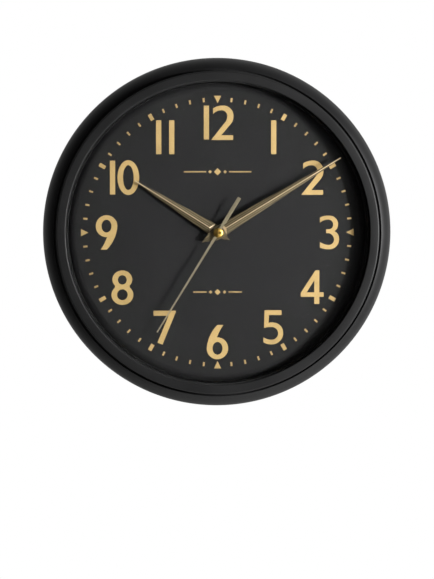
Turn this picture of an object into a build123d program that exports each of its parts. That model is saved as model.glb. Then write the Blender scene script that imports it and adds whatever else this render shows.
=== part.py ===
"""Round quartz wall clock.

A deep black moulded case carries a raised flat bezel, a flat glass, a black dial with gold
numerals and a battery quartz movement that turns three gold hands.

Millimetres, +Z up. The clock faces -Y and its back rim lies in the wall plane Y = 0. The
origin is the middle of the hanging keyhole's round entry, in the wall plane; the hands' axis
is axis_drop below it. "Depth" is the distance from the wall plane towards the viewer.
"""

import os
from math import acos, asin, cos, degrees, pi, radians, sin, sqrt, tan

from build123d import *

os.makedirs("parts", exist_ok=True)

# ---------------------------------------------------------------- driving sizes
# overall
case_radius = 127.5  # at the widest line of the case
axis_drop = 92.0  # hands' axis below the keyhole
fit_gap = 0.3  # between loose stationary parts
bond_gap = 0.02  # between pressed or bonded parts

# depth stack, from the wall forwards
knob_to_wall = 7.0
knob_height = 3.6
knob_lift = 0.4  # knob's underside above the movement's back
rubber_thickness = 0.6
cup_floor = 1.2
washer_thickness = 0.5
nut_thickness = 2.5
nut_headroom = 1.0  # dial's back above the nut
dial_thickness = 0.6
roll_radius, roll_angle = 8.0, 40.0  # the dial's pressed rim curves back to a flange
spacer_height = 9.3  # above the dial's flat face
gasket_thickness = 0.4
glass_thickness = 1.8
bezel_lip = 1.1

# case and bezel sections
case_wall = 2.4
web_wall = 1.4  # ring wall round the dial
shoulder_radius = 15.7
shoulder_angle = 61.9  # from the widest line up to the groove
side_angle = 12.0  # how far the same arc runs behind the widest line, and the side's taper
rear_edge_share = 0.4  # rear edge's rounding, as a share of the rim's width
groove_width = 1.7
groove_depth = 2.66
bezel_height = 8.5
bezel_width = 6.8
bezel_outer_edge = 1.1
bezel_inner_edge = 0.7
glass_seat = 2.4  # how far the glass reaches under the bezel's lip
spacer_step = 1.8  # spacer ring stands inside the bezel's lip by this
spacer_relief = 0.8  # its lip under the glass is cut back by this
ledge_width = 8.0  # ledge that carries the dial plate
backplate_thickness = 2.0
plate_ribs, rib_width, rib_height = 12, 1.4, 1.6  # on the back of the dial plate

# rear cover, its screws and the hanger
cover_recess = 1.0
cover_thickness = 2.4
cover_screws = 6
boss_radius = 3.5
boss_hole = 1.2
screw_shank = 1.15
screw_clearance = 1.6
screw_head = 3.0
screw_length = 12.0
counterbore = 1.2  # depth of the recess for a cover screw's head
screw_sunk = 0.1  # head lies this far below the cover's face
well_clearance = 1.0
well_wall = 1.6
well_overlap = 1.5  # well wall reaches this far round the movement
hanger_width = 30.0
hanger_above = 17.0
hanger_below = 10.0
hanger_corner = 3.0
keyhole_radius = 4.5
keyhole_slot = 4.5  # width
keyhole_rise = 9.0
head_room = 2.0  # cover is cut this far outside the keyhole for the nail's head
rivet_radius = 1.5
rivet_spread = 22.0
rivet_drop = 6.5
bezel_screws = 4
bezel_screw_shank = 1.0
bezel_screw_head = 1.6
bezel_screw_head_height = 1.4
bezel_screw_length = 7.0
bezel_cross, cover_cross = (3.0, 0.5), (3.2, 0.6)  # length and width of a screw's cross slots
cross_depth = 0.6

# dial print
ink_thickness = 0.08
track_margin = 11.9  # from the spacer ring to the middle of the minute marks
minute_mark = (1.3, 3.0)
hour_mark = (2.7, 4.9)
quarter_mark = (5.2, 5.3)
numeral_height = 24.6
numeral_margin = 16.8  # from the minute marks' circle to the numerals' circle
digit_gap = 1.7
eleven_gap = 5.8
# sideways optical spacing of some numerals, to the right of their place on the circle
numeral_shift = {1: 0.9, 3: 1.9, 5: 0.8, 7: 1.5, 9: -0.9, 10: 1.6, 11: 1.9, 12: 0.8}
ornament_above = (44.3, 24.7, 2.6)  # height above the axis, half length, middle lozenge's half width
ornament_below = (-43.6, 17.8, 2.2)
side_lozenge = 1.3  # half width of the two small lozenges
lozenge_gap = 1.6
rule_width = 0.9

# hands: angles are clockwise from 12
hour_angle, minute_angle, seconds_angle = 302.1, 58.7, 211.5
sheet = 0.35
seconds_sheet = 0.3
hour_hand_lift, minute_hand_lift, seconds_hand_lift = 3.0, 5.5, 7.6  # above the dial
hour_margin = 37.8  # hour hand's tip inside the spacer ring
minute_margin = 3.9
seconds_margin = 24.1
blade_half_width = 4.45
blade_start = 4.9
ridge_start = 7.2
hour_ridge, minute_ridge = 1.1, 1.0
tip_half_width = 0.55
hour_tail, minute_tail = 10.4, 13.5
tail_half_angle = 24.0
seconds_tail = 30.0
seconds_bar = 2.65
seconds_neck = 1.9
stick_width = 1.6  # beside the neck
socket_radius = 1.3
seconds_tip = 0.95
neck_reach = 8.4
cap_radius = 3.45
cap_height = 1.1
collet_wall = 1.0
collet_height = 1.4
arbor = 0.4
tube_clearance = 0.08  # arbor in the minute tube, and minute tube in the hour tube
minute_tube_wall, hour_tube_wall = 1.27, 0.67
tube_proud = 0.25  # tubes end this far above their hand

# movement
movement_rise = 28.0  # its top above the axis
movement_corner = 4.0
shell_wall = 1.4
front_shell_depth = 10.0
bush_wall = 1.45
bush_clearance = 0.05
dial_hole_gap = 1.5  # round the hour tube
nut_flats = 14.0
washer_radius = 7.4
rubber_radius = 9.0
cup_radius = 15.0
bay_wall = 1.0
bay_headroom = 0.6  # above the cell
wheel_clearance = 0.575  # from the larger of the centre and seconds wheels to the bay's wall
spring_room = 2.2
spring_width = 4.0
cell_radius = 7.1
cell_length = 49.4
cell_nub = 1.0
cell_clearance = 0.2
contact_sheet = 0.3
pivot = 0.3
pivot_clearance = 0.04
pivot_depth = 0.8
cup_boss = 1.2  # radius of the low boss round a pivot's hole
post = 0.7
post_clearance = 0.05
knob_radius = 6.0
knob_shaft = 1.0
magnet_radius = 3.0
rotor_hub = 1.1
rotor_gap = 0.5
stator_rim = 1.7

# gear train: teeth and modules; each pair shares one centre distance
cannon_teeth, reverser_teeth = 12, 36
reverser_pinion_teeth, hour_teeth = 10, 40
centre_teeth, third_pinion_teeth = 64, 8
third_teeth, seconds_pinion_teeth = 60, 8
seconds_teeth, idler_pinion_teeth = 60, 10
idler_teeth, rotor_teeth = 50, 10
knob_teeth = 12
motion_distance = 9.6
third_distance = 10.8
idler_distance = 10.5
rotor_distance = 9.0
pressure_angle = 25.0
addendum, dedendum = 0.75, 1.05  # in modules
tooth_share = 0.43  # tooth width as a share of the pitch
wheel_thickness = 1.0
pinion_thickness = 1.2
pinion_pass = 0.2  # a pinion reaches this far past the wheel that it drives
wheel_hub = 2.2  # solid round a wheel's arbor, out to its windows
idler_thickness = 0.8
rim_width = 0.6  # inside a wheel's pitch circle, outside its windows
knob_flutes, flute_radius = 24, 0.45

# ---------------------------------------------------------------- derived sizes of the movement
minute_bore = arbor + tube_clearance
minute_tube = minute_bore + minute_tube_wall
hour_bore = minute_tube + tube_clearance
hour_tube = hour_bore + hour_tube_wall
bush_radius = hour_tube + bush_clearance + bush_wall
dial_hole = hour_tube + dial_hole_gap
motion_module = 2 * motion_distance / (cannon_teeth + reverser_teeth)
hour_module = 2 * motion_distance / (reverser_pinion_teeth + hour_teeth)
centre_module = 2 * third_distance / (centre_teeth + third_pinion_teeth)
third_module = 2 * third_distance / (third_teeth + seconds_pinion_teeth)
seconds_module = 2 * idler_distance / (seconds_teeth + idler_pinion_teeth)
idler_module = 2 * rotor_distance / (idler_teeth + rotor_teeth)
bay_size = 2 * (cell_radius + cell_clearance)
movement_thickness = bay_size + shell_wall
movement_half = (cell_length + cell_nub + spring_room) / 2 + contact_sheet + shell_wall
wheel_reach = max(
    (centre_teeth / 2 + addendum) * centre_module,
    (seconds_teeth / 2 + addendum) * seconds_module,
)
chamber_low = -wheel_reach - wheel_clearance
bay_top = chamber_low - bay_wall
bay_low = bay_top - bay_headroom - bay_size
movement_low = bay_low - shell_wall
inside_half, inside_high = movement_half - shell_wall, movement_rise - shell_wall

# ---------------------------------------------------------------- derived depths
movement_back = knob_to_wall + knob_height + knob_lift
movement_front = movement_back + movement_thickness
cup_back = movement_front + rubber_thickness
cup_seat = cup_back + cup_floor
dial_back = cup_seat + washer_thickness + nut_thickness + nut_headroom
dial_front = dial_back + dial_thickness
spacer_front = dial_front + spacer_height
glass_back = spacer_front + gasket_thickness
glass_front = glass_back + glass_thickness
case_depth = glass_front + bezel_lip
shelf_depth = case_depth - bezel_height
shoulder_lip_depth = shelf_depth + groove_depth
widest_depth = shoulder_lip_depth - shoulder_radius * sin(radians(shoulder_angle))
plate_depth = dial_back - backplate_thickness
flange_depth = dial_front - roll_radius * (1 - cos(radians(roll_angle)))
ledge_depth = flange_depth - dial_thickness
cover_front = cover_recess + cover_thickness

# ---------------------------------------------------------------- derived radii
arc_middle = case_radius - shoulder_radius
shoulder_lip_radius = arc_middle + shoulder_radius * cos(radians(shoulder_angle))
bezel_outer = shoulder_lip_radius - groove_width
bezel_inner = bezel_outer - bezel_width
glass_radius = bezel_inner + glass_seat - fit_gap
seat_radius = bezel_inner + glass_seat
dial_bore = seat_radius - fit_gap
spacer_inner = bezel_inner - spacer_step
dial_radius = dial_bore - fit_gap
roll_start = spacer_inner - fit_gap - roll_radius * sin(radians(roll_angle))
plate_radius = roll_start - fit_gap
ledge_inner = dial_bore - ledge_width
web_outer = dial_bore + web_wall
boss_circle = (ledge_inner + web_outer) / 2
bezel_screw_circle = (web_outer + bezel_outer) / 2
track_radius = spacer_inner - track_margin
numeral_circle = track_radius - numeral_margin
hour_length = spacer_inner - hour_margin
minute_length = spacer_inner - minute_margin
seconds_length = spacer_inner - seconds_margin


# ---------------------------------------------------------------- helpers
def face_plane(depth, x=0.0, z=0.0):
    """A plane parallel to the wall, seen from the front, at a point given from the axis."""
    return Plane(origin=(x, -depth, z - axis_drop), x_dir=(1, 0, 0), z_dir=(0, -1, 0))


def hand_plane(depth, angle):
    """As face_plane, with its x along a hand that points clockwise of 12 by angle."""
    a = radians(angle)
    return Plane(origin=(0, -depth, -axis_drop), x_dir=(sin(a), 0, cos(a)), z_dir=(0, -1, 0))


def section_plane(x=0.0, z=0.0):
    """The plane of a turned section: its x is the radius and its y is the depth."""
    return Plane(origin=(x, 0, z - axis_drop), x_dir=(1, 0, 0), z_dir=(0, 0, -1))


def turn_axis(x=0.0, z=0.0):
    return Axis((x, 0, z - axis_drop), (0, 1, 0))


def turned(*points, x=0.0, z=0.0, mode=Mode.ADD):
    """Revolves a section of (radius, depth) points about the arbor at x, z."""
    with BuildSketch(section_plane(x, z)) as section:
        with BuildLine():
            Polyline(*points, close=True)
        make_face()
    revolve(section.sketch, axis=turn_axis(x, z), mode=mode)


def disc(radius, back, front, x=0.0, z=0.0, inner=0.0, mode=Mode.ADD):
    """A disc, or a ring if inner is given, between two depths."""
    with BuildSketch(face_plane(back, x, z)) as round_face:
        Circle(radius)
        if inner:
            Circle(inner, mode=Mode.SUBTRACT)
    extrude(round_face.sketch, amount=front - back, mode=mode)


def block(x_low, x_high, z_low, z_high, back, front, mode=Mode.ADD):
    """A box between limits given from the axis."""
    with BuildSketch(face_plane(back, (x_low + x_high) / 2, (z_low + z_high) / 2)) as face:
        Rectangle(x_high - x_low, z_high - z_low)
    extrude(face.sketch, amount=front - back, mode=mode)


def cross(x, z, slots, back, front):
    """Cuts a screw's cross slots, given by their length and width."""
    for wide, tall in (slots, reversed(slots)):
        block(x - wide / 2, x + wide / 2, z - tall / 2, z + tall / 2, back, front, mode=Mode.SUBTRACT)


def dome_middle(radius, base, rise):
    """Middle of the arc from (radius, base) to (0, base + rise), centred on the arbor."""
    ball = (radius**2 + rise**2) / (2 * rise)
    half = asin(radius / ball) / 2
    return ball * sin(half), base + rise - ball * (1 - cos(half))


def at(radius, angle):
    """(x, z) on a circle round the axis, angle anticlockwise from +X."""
    return radius * cos(radians(angle)), radius * sin(radians(angle))


def save(part, name):
    part.label = name
    export_step(part, f"parts/{name}.step")


# ---------------------------------------------------------------- case
def on_arc(radius, angle):
    return (arc_middle + radius * cos(radians(angle)), widest_depth + radius * sin(radians(angle)))


def side_line(radius):
    """Where the tapered side, tangent to the shoulder arc of this radius, meets the wall plane."""
    start = on_arc(radius, -side_angle)
    return (start[0] - start[1] * tan(radians(side_angle)), 0.0)


inner_arc = shoulder_radius - case_wall
shelf_back = shelf_depth - case_wall
pocket_angle = degrees(asin((shelf_back - widest_depth) / inner_arc))
bosses = [at(boss_circle, 360 * i / cover_screws) for i in range(cover_screws)]
bezel_holes = [at(bezel_screw_circle, 45 + 360 * i / bezel_screws) for i in range(bezel_screws)]

with BuildPart() as case_shell:
    with BuildSketch(section_plane()):
        with BuildLine():
            lip = on_arc(shoulder_radius, shoulder_angle)
            side_top = on_arc(shoulder_radius, -side_angle)
            inside_top = on_arc(inner_arc, -side_angle)
            pocket_end = on_arc(inner_arc, pocket_angle)
            rim_outer, rim_inner = side_line(shoulder_radius), side_line(inner_arc)
            Line(rim_inner, rim_outer)
            Line(rim_outer, side_top)
            ThreePointArc(side_top, on_arc(shoulder_radius, 0), lip)
            Polyline(
                lip,
                (shoulder_lip_radius, shelf_depth),
                (dial_bore, shelf_depth),
                (dial_bore, ledge_depth),
                (ledge_inner, ledge_depth),
                (ledge_inner, ledge_depth - case_wall),
                (web_outer, ledge_depth - case_wall),
                (web_outer, shelf_back),
                pocket_end,
            )
            ThreePointArc(pocket_end, on_arc(inner_arc, 0), inside_top)
            Line(inside_top, rim_inner)
        make_face()
    revolve(axis=turn_axis())
    rear_edges = case_shell.edges().filter_by(GeomType.CIRCLE).group_by(Axis.Y)[-1]
    rear_edge = rear_edges.sort_by(SortBy.RADIUS)[-1]
    fillet(rear_edge, radius=rear_edge_share * (rim_outer[0] - rim_inner[0]))
    for x, z in bosses:
        disc(boss_radius, cover_front, ledge_depth - case_wall, x, z)
        disc(boss_hole, cover_front, cover_front + screw_length, x, z, mode=Mode.SUBTRACT)
    for x, z in bezel_holes:
        disc(bezel_screw_shank + fit_gap, shelf_back, shelf_depth, x, z, mode=Mode.SUBTRACT)
save(case_shell.part, "case_shell")

with BuildPart() as bezel_ring:
    turned(
        (bezel_inner, case_depth),
        (bezel_outer, case_depth),
        (bezel_outer, shelf_depth),
        (seat_radius, shelf_depth),
        (seat_radius, glass_front),
        (bezel_inner, glass_front),
    )
    front_edges = bezel_ring.edges().filter_by(GeomType.CIRCLE).group_by(Axis.Y)[0].sort_by(SortBy.RADIUS)
    fillet(front_edges[-1], radius=bezel_outer_edge)
    fillet(front_edges[0], radius=min(bezel_inner_edge, 0.65 * bezel_lip))
    for x, z in bezel_holes:
        disc(bezel_screw_shank + bond_gap, shelf_depth, shelf_depth + bezel_screw_length - case_wall, x, z,
             mode=Mode.SUBTRACT)
save(bezel_ring.part, "bezel_ring")

with BuildPart() as bezel_screw_set:
    for x, z in bezel_holes:
        disc(bezel_screw_shank, shelf_back, shelf_back + bezel_screw_length - fit_gap, x, z)
        head_back = shelf_back - bezel_screw_head_height
        disc(bezel_screw_head, head_back, shelf_back, x, z)
        cross(x, z, bezel_cross, head_back, head_back + cross_depth)
save(bezel_screw_set.part, "bezel_screws")

with BuildPart() as glass_lens:
    disc(glass_radius, glass_back, glass_front)
    chamfer(glass_lens.edges().filter_by(GeomType.CIRCLE), length=0.2)
save(glass_lens.part, "glass_lens")

with BuildPart() as glass_gasket:
    disc(dial_radius - fit_gap, spacer_front, glass_back, inner=spacer_inner + spacer_relief + 0.2)
save(glass_gasket.part, "glass_gasket")

with BuildPart() as spacer_ring:
    turned(
        (spacer_inner, flange_depth),
        (dial_radius, flange_depth),
        (dial_radius, spacer_front),
        (spacer_inner + spacer_relief, spacer_front),
        (spacer_inner + spacer_relief, spacer_front - 1.2),
        (spacer_inner, spacer_front - 2.0),
    )
save(spacer_ring.part, "spacer_ring")

# ---------------------------------------------------------------- dial and its plate
def roll_point(lift, angle):
    """A point on the dial's rolled rim, lift above the middle of the sheet's back face."""
    reach = roll_radius - dial_thickness + lift
    turn = radians(angle)
    return (roll_start + reach * sin(turn), dial_front - roll_radius + reach * cos(turn))


with BuildPart() as dial:
    with BuildSketch(section_plane()):
        with BuildLine():
            front_end, back_end = roll_point(dial_thickness, roll_angle), roll_point(0, roll_angle)
            Polyline(
                (roll_start, dial_back), (dial_hole, dial_back), (dial_hole, dial_front),
                (roll_start, dial_front),
            )
            ThreePointArc((roll_start, dial_front), roll_point(dial_thickness, roll_angle / 2), front_end)
            Polyline(
                front_end, (dial_radius, flange_depth), (dial_radius, ledge_depth),
                (back_end[0], ledge_depth), back_end,
            )
            ThreePointArc(back_end, roll_point(0, roll_angle / 2), (roll_start, dial_back))
        make_face()
    revolve(axis=turn_axis())
save(dial.part, "dial")

with BuildPart() as dial_plate:
    disc(plate_radius, plate_depth, dial_back, inner=cup_radius)
    disc(cup_radius + case_wall / 2, cup_back, dial_back)
    disc(cup_radius, cup_seat, dial_back, mode=Mode.SUBTRACT)
    disc(bush_radius + fit_gap, cup_back, cup_seat, mode=Mode.SUBTRACT)
    # stiffening ribs on the back of the plate
    rib_inner, rib_outer = cup_radius + 1, ledge_inner - 2
    for i in range(plate_ribs):
        with BuildSketch(face_plane(plate_depth - rib_height)) as rib:
            with Locations(Rot(0, 0, 360 * (i + 0.5) / plate_ribs) * Pos((rib_inner + rib_outer) / 2, 0, 0)):
                Rectangle(rib_outer - rib_inner, rib_width)
        extrude(rib.sketch, amount=rib_height)
save(dial_plate.part, "dial_plate")


# digits: outlines drawn 25 mm tall from their lower left corner, then centred and scaled
def outline(start, *steps):
    """A closed line. Each step is a line's end, or an arc's middle and end."""
    with BuildLine() as path:
        here = start
        for step in steps:
            if isinstance(step[0], tuple):
                ThreePointArc(here, *step)
                here = step[1]
            else:
                Line(here, step)
                here = step
        if here != start:
            Line(here, start)
    return path.line


def one():
    with BuildSketch() as glyph:
        Rectangle(3.85, 24.9)
    return glyph.sketch


def zero():
    with BuildSketch() as glyph:
        Ellipse(8.0, 12.8)
        Ellipse(3.95, 9.15, mode=Mode.SUBTRACT)
    return glyph.sketch


def two():
    with BuildSketch() as glyph:
        with BuildLine():
            add(outline(
                (0, 0), (16.2, 0), (16.2, 3.45), (7.4, 3.45), (14.3, 11.6),
                ((16.0, 14.6), (16.4, 17.9)), ((14.2, 23.2), (8.3, 25.35)), ((4.6, 24.75), (1.4, 23.3)),
                (1.4, 19.1), ((4.2, 21.2), (7.4, 21.85)), ((10.7, 20.7), (11.95, 17.7)),
                ((11.6, 15.4), (10.3, 13.0)),
            ))
        make_face()
    return glyph.sketch


def three():
    with BuildSketch() as glyph:
        with BuildLine():
            add(outline(
                (0.3, 1.3), ((3.4, 0.25), (6.8, 0)), ((12.2, 1.9), (14.4, 6.8)),
                ((13.7, 10.9), (11.0, 13.4)), ((13.1, 15.7), (13.7, 18.6)), ((11.8, 23.1), (6.9, 24.9)),
                ((3.4, 24.6), (0.3, 23.5)), (0.3, 19.6), ((3.0, 21.4), (6.0, 22.0)),
                ((9.1, 20.9), (10.1, 18.4)), ((9.3, 15.9), (6.8, 14.8)), (4.9, 14.8), (4.9, 11.9),
                (7.0, 11.9), ((9.7, 10.2), (10.75, 7.4)), ((9.6, 4.3), (6.6, 3.1)), ((3.3, 3.8), (0.3, 5.4)),
            ))
        make_face()
    return glyph.sketch


def four():
    with BuildSketch() as glyph:
        with BuildLine():
            Polyline(
                (10.05, 0), (13.75, 0), (13.75, 5.3), (17.0, 5.3), (17.0, 8.6), (13.75, 8.6), (13.75, 24.9),
                (10.9, 24.9), (0, 8.2), (0, 5.3), (10.05, 5.3), close=True,
            )
        make_face()
        with BuildLine():
            Polyline((10.05, 8.6), (10.05, 17.6), (4.3, 8.6), close=True)
        make_face(mode=Mode.SUBTRACT)
    return glyph.sketch


def five():
    with BuildSketch() as glyph:
        with BuildLine():
            add(outline(
                (1.1, 25.35), (13.7, 25.35), (13.7, 21.8), (4.4, 21.8), (4.15, 16.0),
                ((6.0, 16.3), (7.9, 16.2)), ((13.0, 13.7), (14.9, 8.4)), ((12.4, 2.3), (6.4, 0)),
                ((3.2, 0.35), (0.3, 1.5)), (0.3, 5.3), ((3.0, 3.9), (5.9, 3.4)), ((9.7, 4.7), (11.3, 8.3)),
                ((9.8, 11.6), (6.2, 12.9)), ((3.4, 12.8), (0.8, 12.2)),
            ))
        make_face()
    return glyph.sketch


def six():
    with BuildSketch() as glyph:
        with Locations((7.95, 8.1)):
            Ellipse(7.95, 8.1)
        with BuildLine():
            add(outline(
                (0.05, 8.8), ((1.9, 16.3), (7.8, 25.4)), (12.3, 25.4), ((9.6, 20.9), (7.4, 15.9)),
                (9.0, 9.0),
            ))
        make_face()
        with Locations((8.0, 8.1)):
            Ellipse(3.7, 4.75, mode=Mode.SUBTRACT)
    return glyph.sketch


def seven():
    with BuildSketch() as glyph:
        with BuildLine():
            Polyline(
                (0, 25.1), (16.5, 25.1), (16.5, 24.2), (6.6, 0), (2.9, 1.5), (11.1, 21.4), (0, 21.4),
                close=True,
            )
        make_face()
    return glyph.sketch


def eight():
    with BuildSketch() as glyph:
        with Locations((8.0, 18.8)):
            Ellipse(7.3, 6.7)
        with Locations((8.05, 7.4)):
            Ellipse(8.05, 7.4)
        with Locations((8.0, 13.4)):
            Ellipse(5.5, 1.8)
        with Locations((8.0, 18.5)):
            Ellipse(3.3, 3.45, mode=Mode.SUBTRACT)
        with Locations((8.05, 7.5)):
            Ellipse(3.95, 4.05, mode=Mode.SUBTRACT)
    return glyph.sketch


def centred(glyph):
    box = glyph.bounding_box()
    return Pos(-box.center().X, -box.center().Y) * glyph


digits = [centred(g) for g in (zero(), one(), two(), three(), four(), five(), six(), seven(), eight())]
digits.append(Rot(0, 0, 180) * digits[6])
digit_scale = numeral_height / digits[1].bounding_box().size.Y


def number(hour):
    """The digits of an hour side by side, as (glyph, x) pairs about the numeral's middle."""
    glyphs = [digits[int(c)] for c in str(hour)]
    widths = [g.bounding_box().size.X for g in glyphs]
    gap = eleven_gap if hour == 11 else digit_gap
    start = -(sum(widths) + gap * (len(glyphs) - 1)) / 2
    placed = []
    for glyph, width in zip(glyphs, widths):
        placed.append((glyph, start + width / 2))
        start += width + gap
    return placed


with BuildPart() as dial_numerals:
    for hour in range(1, 13):
        x, z = at(numeral_circle, 90 - 30 * hour)
        x += numeral_shift.get(hour, 0)
        for glyph, along in number(hour):
            with BuildSketch(face_plane(dial_front, x + along * digit_scale, z)) as face:
                add(scale(glyph, by=digit_scale, mode=Mode.PRIVATE))
            extrude(face.sketch, amount=ink_thickness)
save(dial_numerals.part, "dial_numerals")

with BuildPart() as minute_track:
    for minute in range(60):
        with BuildSketch(face_plane(dial_front)) as mark:
            turn = Rot(0, 0, -6 * minute)
            with Locations(turn * Pos(0, track_radius, 0)):
                if minute % 15 == 0:
                    half, tall = quarter_mark[0] / 2, quarter_mark[1] / 2
                    Polygon((-half, tall), (half, tall), (0, -tall), align=None)
                elif minute % 5 == 0:
                    Rectangle(*hour_mark)
                else:
                    Rectangle(*minute_mark)
        extrude(mark.sketch, amount=ink_thickness)
save(minute_track.part, "minute_track")


def lozenge(half):
    Polygon((-half, 0), (0, half), (half, 0), (0, -half), align=None)


with BuildPart() as dial_ornament:
    # three lozenges between two rules, where a maker would print a name
    for z, half_length, middle_lozenge in (ornament_above, ornament_below):
        with BuildSketch(face_plane(dial_front, 0, z)) as marks:
            lozenge(middle_lozenge)
            side_middle = middle_lozenge + lozenge_gap + side_lozenge
            with Locations((-side_middle, 0), (side_middle, 0)):
                lozenge(side_lozenge)
            rule = half_length - side_middle - side_lozenge - lozenge_gap
            with Locations((half_length - rule / 2, 0), (rule / 2 - half_length, 0)):
                Rectangle(rule, rule_width)
        extrude(marks.sketch, amount=ink_thickness)
save(dial_ornament.part, "dial_ornament")


# ---------------------------------------------------------------- hands
def blade_face(length, plane):
    """The outline of a folded blade, from its hub end to its blunt tip."""
    with BuildSketch(plane) as face:
        with BuildLine():
            Polyline(
                (blade_start, -blade_half_width), (length, -tip_half_width),
                (length, tip_half_width), (blade_start, blade_half_width), close=True,
            )
        make_face()
    return face.sketch


def roof(length, ridge, lift, plane):
    """A blade-shaped solid under a ridged roof; lift raises the whole roof."""
    tip_ridge = ridge * tip_half_width / blade_half_width
    crest, tip_crest = Vector(ridge_start, 0, ridge + lift), Vector(length, 0, tip_ridge + lift)
    planes = []
    for side in (-1, 1):
        edge = Vector(blade_start, side * blade_half_width, lift)
        tip = Vector(length, side * tip_half_width, lift)
        planes.append((edge, (tip - edge).cross(crest - edge) * side))
    left, right = Vector(blade_start, -blade_half_width, lift), Vector(blade_start, blade_half_width, lift)
    planes.append((left, (right - left).cross(crest - left) * -1))
    with BuildPart() as solid:
        extrude(blade_face(length, Plane.XY), amount=ridge + lift)
        for point, normal in planes:
            up = normal if normal.Z > 0 else normal * -1
            split(bisect_by=Plane(origin=point, z_dir=up), keep=Keep.BOTTOM)
    return plane.location * solid.part


def flat_face(tail, plane):
    """Hub and pointed tail of a hand, in one flat outline."""
    taper = blade_half_width / tan(radians(tail_half_angle))
    with BuildSketch(plane) as face:
        with BuildLine():
            Polyline(
                (blade_start + 0.4, -blade_half_width), (blade_start + 0.4, blade_half_width),
                (taper - tail, blade_half_width), (-tail, 0), (taper - tail, -blade_half_width), close=True,
            )
        make_face()
    return face.sketch


def pressed_hand(roofs, tail, plane):
    """A folded blade, as the space between its outer and inner roof, with a flat hub and tail."""
    outer, inner = roofs
    add(outer)
    add(inner, mode=Mode.SUBTRACT)
    extrude(flat_face(tail, plane), amount=sheet)


hour_depth = dial_front + hour_hand_lift
minute_depth = dial_front + minute_hand_lift
seconds_depth = dial_front + seconds_hand_lift

hour_plane = hand_plane(hour_depth, hour_angle)
hour_roofs = [roof(hour_length, hour_ridge, lift, hour_plane) for lift in (sheet, 0)]
with BuildPart() as hour_hand:
    pressed_hand(hour_roofs, hour_tail, hour_plane)
    disc(hour_tube + bond_gap, hour_depth, hour_depth + sheet, mode=Mode.SUBTRACT)
save(hour_hand.part, "hour_hand")

with BuildPart() as hour_collet:
    disc(hour_tube + collet_wall, hour_depth - collet_height, hour_depth, inner=hour_tube + bond_gap)
save(hour_collet.part, "hour_hand_collet")

minute_plane = hand_plane(minute_depth, minute_angle)
minute_roofs = [roof(minute_length, minute_ridge, lift, minute_plane) for lift in (sheet, 0)]
with BuildPart() as minute_hand:
    pressed_hand(minute_roofs, minute_tail, minute_plane)
    disc(minute_tube + bond_gap, minute_depth, minute_depth + sheet, mode=Mode.SUBTRACT)
save(minute_hand.part, "minute_hand")

with BuildPart() as minute_collet:
    collet_back = minute_depth - collet_height / 2
    disc(minute_tube + collet_wall, collet_back, minute_depth, inner=minute_tube + bond_gap)
save(minute_collet.part, "minute_hand_collet")

with BuildPart() as seconds_hand:
    with BuildSketch(hand_plane(seconds_depth, seconds_angle)):
        with BuildLine():
            step = neck_reach + 0.6
            Polyline(
                (0, seconds_neck / 2), (neck_reach, seconds_neck / 2), (step, stick_width / 2),
                (seconds_length, seconds_tip / 2), (seconds_length, -seconds_tip / 2),
                (step, -stick_width / 2), (neck_reach, -seconds_neck / 2), (0, -seconds_neck / 2),
                close=True,
            )
        make_face()
        with Locations((-neck_reach / 2, 0)):
            Rectangle(neck_reach, seconds_neck)
        with Locations((-(neck_reach + seconds_tail) / 2, 0)):
            Rectangle(seconds_tail - neck_reach, seconds_bar)
        Circle(cap_radius - 0.6)
        Circle(socket_radius + bond_gap, mode=Mode.SUBTRACT)
    extrude(amount=seconds_sheet)
save(seconds_hand.part, "seconds_hand")

cap_base = seconds_depth + seconds_sheet
with BuildPart() as seconds_socket:
    disc(socket_radius, minute_depth + sheet + tube_proud + 0.35, cap_base, inner=arbor + bond_gap)
save(seconds_socket.part, "seconds_hand_socket")

with BuildPart() as seconds_cap:
    with BuildSketch(section_plane()):
        with BuildLine():
            edge_top = cap_base + 0.3 * cap_height
            top = (0, cap_base + cap_height)
            Polyline(top, (0, cap_base), (cap_radius, cap_base), (cap_radius, edge_top))
            ThreePointArc(
                (cap_radius, edge_top), dome_middle(cap_radius, edge_top, 0.7 * cap_height), top
            )
        make_face()
    revolve(axis=turn_axis())
    disc(arbor + bond_gap, cap_base, cap_base + 0.4, mode=Mode.SUBTRACT)
save(seconds_cap.part, "seconds_hand_cap")

# ---------------------------------------------------------------- gear train
# levels, as depths of each wheel's back face
level_1 = movement_front - shell_wall - 1.6
level_2 = level_1 - 2.2
level_3 = level_2 - 1.8
level_4 = level_3 - 2.2
level_5 = level_4 - 2.0
level_6 = level_5 - 1.8
front_wall = movement_front - shell_wall
back_wall = movement_back + shell_wall

reverser_at = at(motion_distance, 165)
knob_at = tuple(a + b for a, b in zip(reverser_at, at(motion_distance, 150)))
third_at = at(third_distance, 100)
idler_at = at(idler_distance, 20)
rotor_at = tuple(a + b for a, b in zip(idler_at, at(rotor_distance, 20)))


def involute(angle):
    return tan(angle) - angle


def tooth_profile(teeth, module, first_tooth):
    """Points round a gear: straight chords of involute flanks between root and tip."""
    pitch_radius = teeth * module / 2
    base_radius = pitch_radius * cos(radians(pressure_angle))
    root, tip = pitch_radius - dedendum * module, pitch_radius + addendum * module
    half_pitch = tooth_share * pi / teeth

    def half_width(radius):
        if radius <= base_radius:
            return half_pitch + involute(radians(pressure_angle))
        return half_pitch + involute(radians(pressure_angle)) - involute(acos(base_radius / radius))

    points = []
    flank = (root, pitch_radius, (pitch_radius + tip) / 2, tip)
    for i in range(teeth):
        middle = radians(first_tooth) + 2 * pi * i / teeth
        for radius in flank:
            points.append((radius, middle - half_width(radius)))
        for radius in reversed(flank):
            points.append((radius, middle + half_width(radius)))
    return [(r * cos(a), r * sin(a)) for r, a in points]


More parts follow.
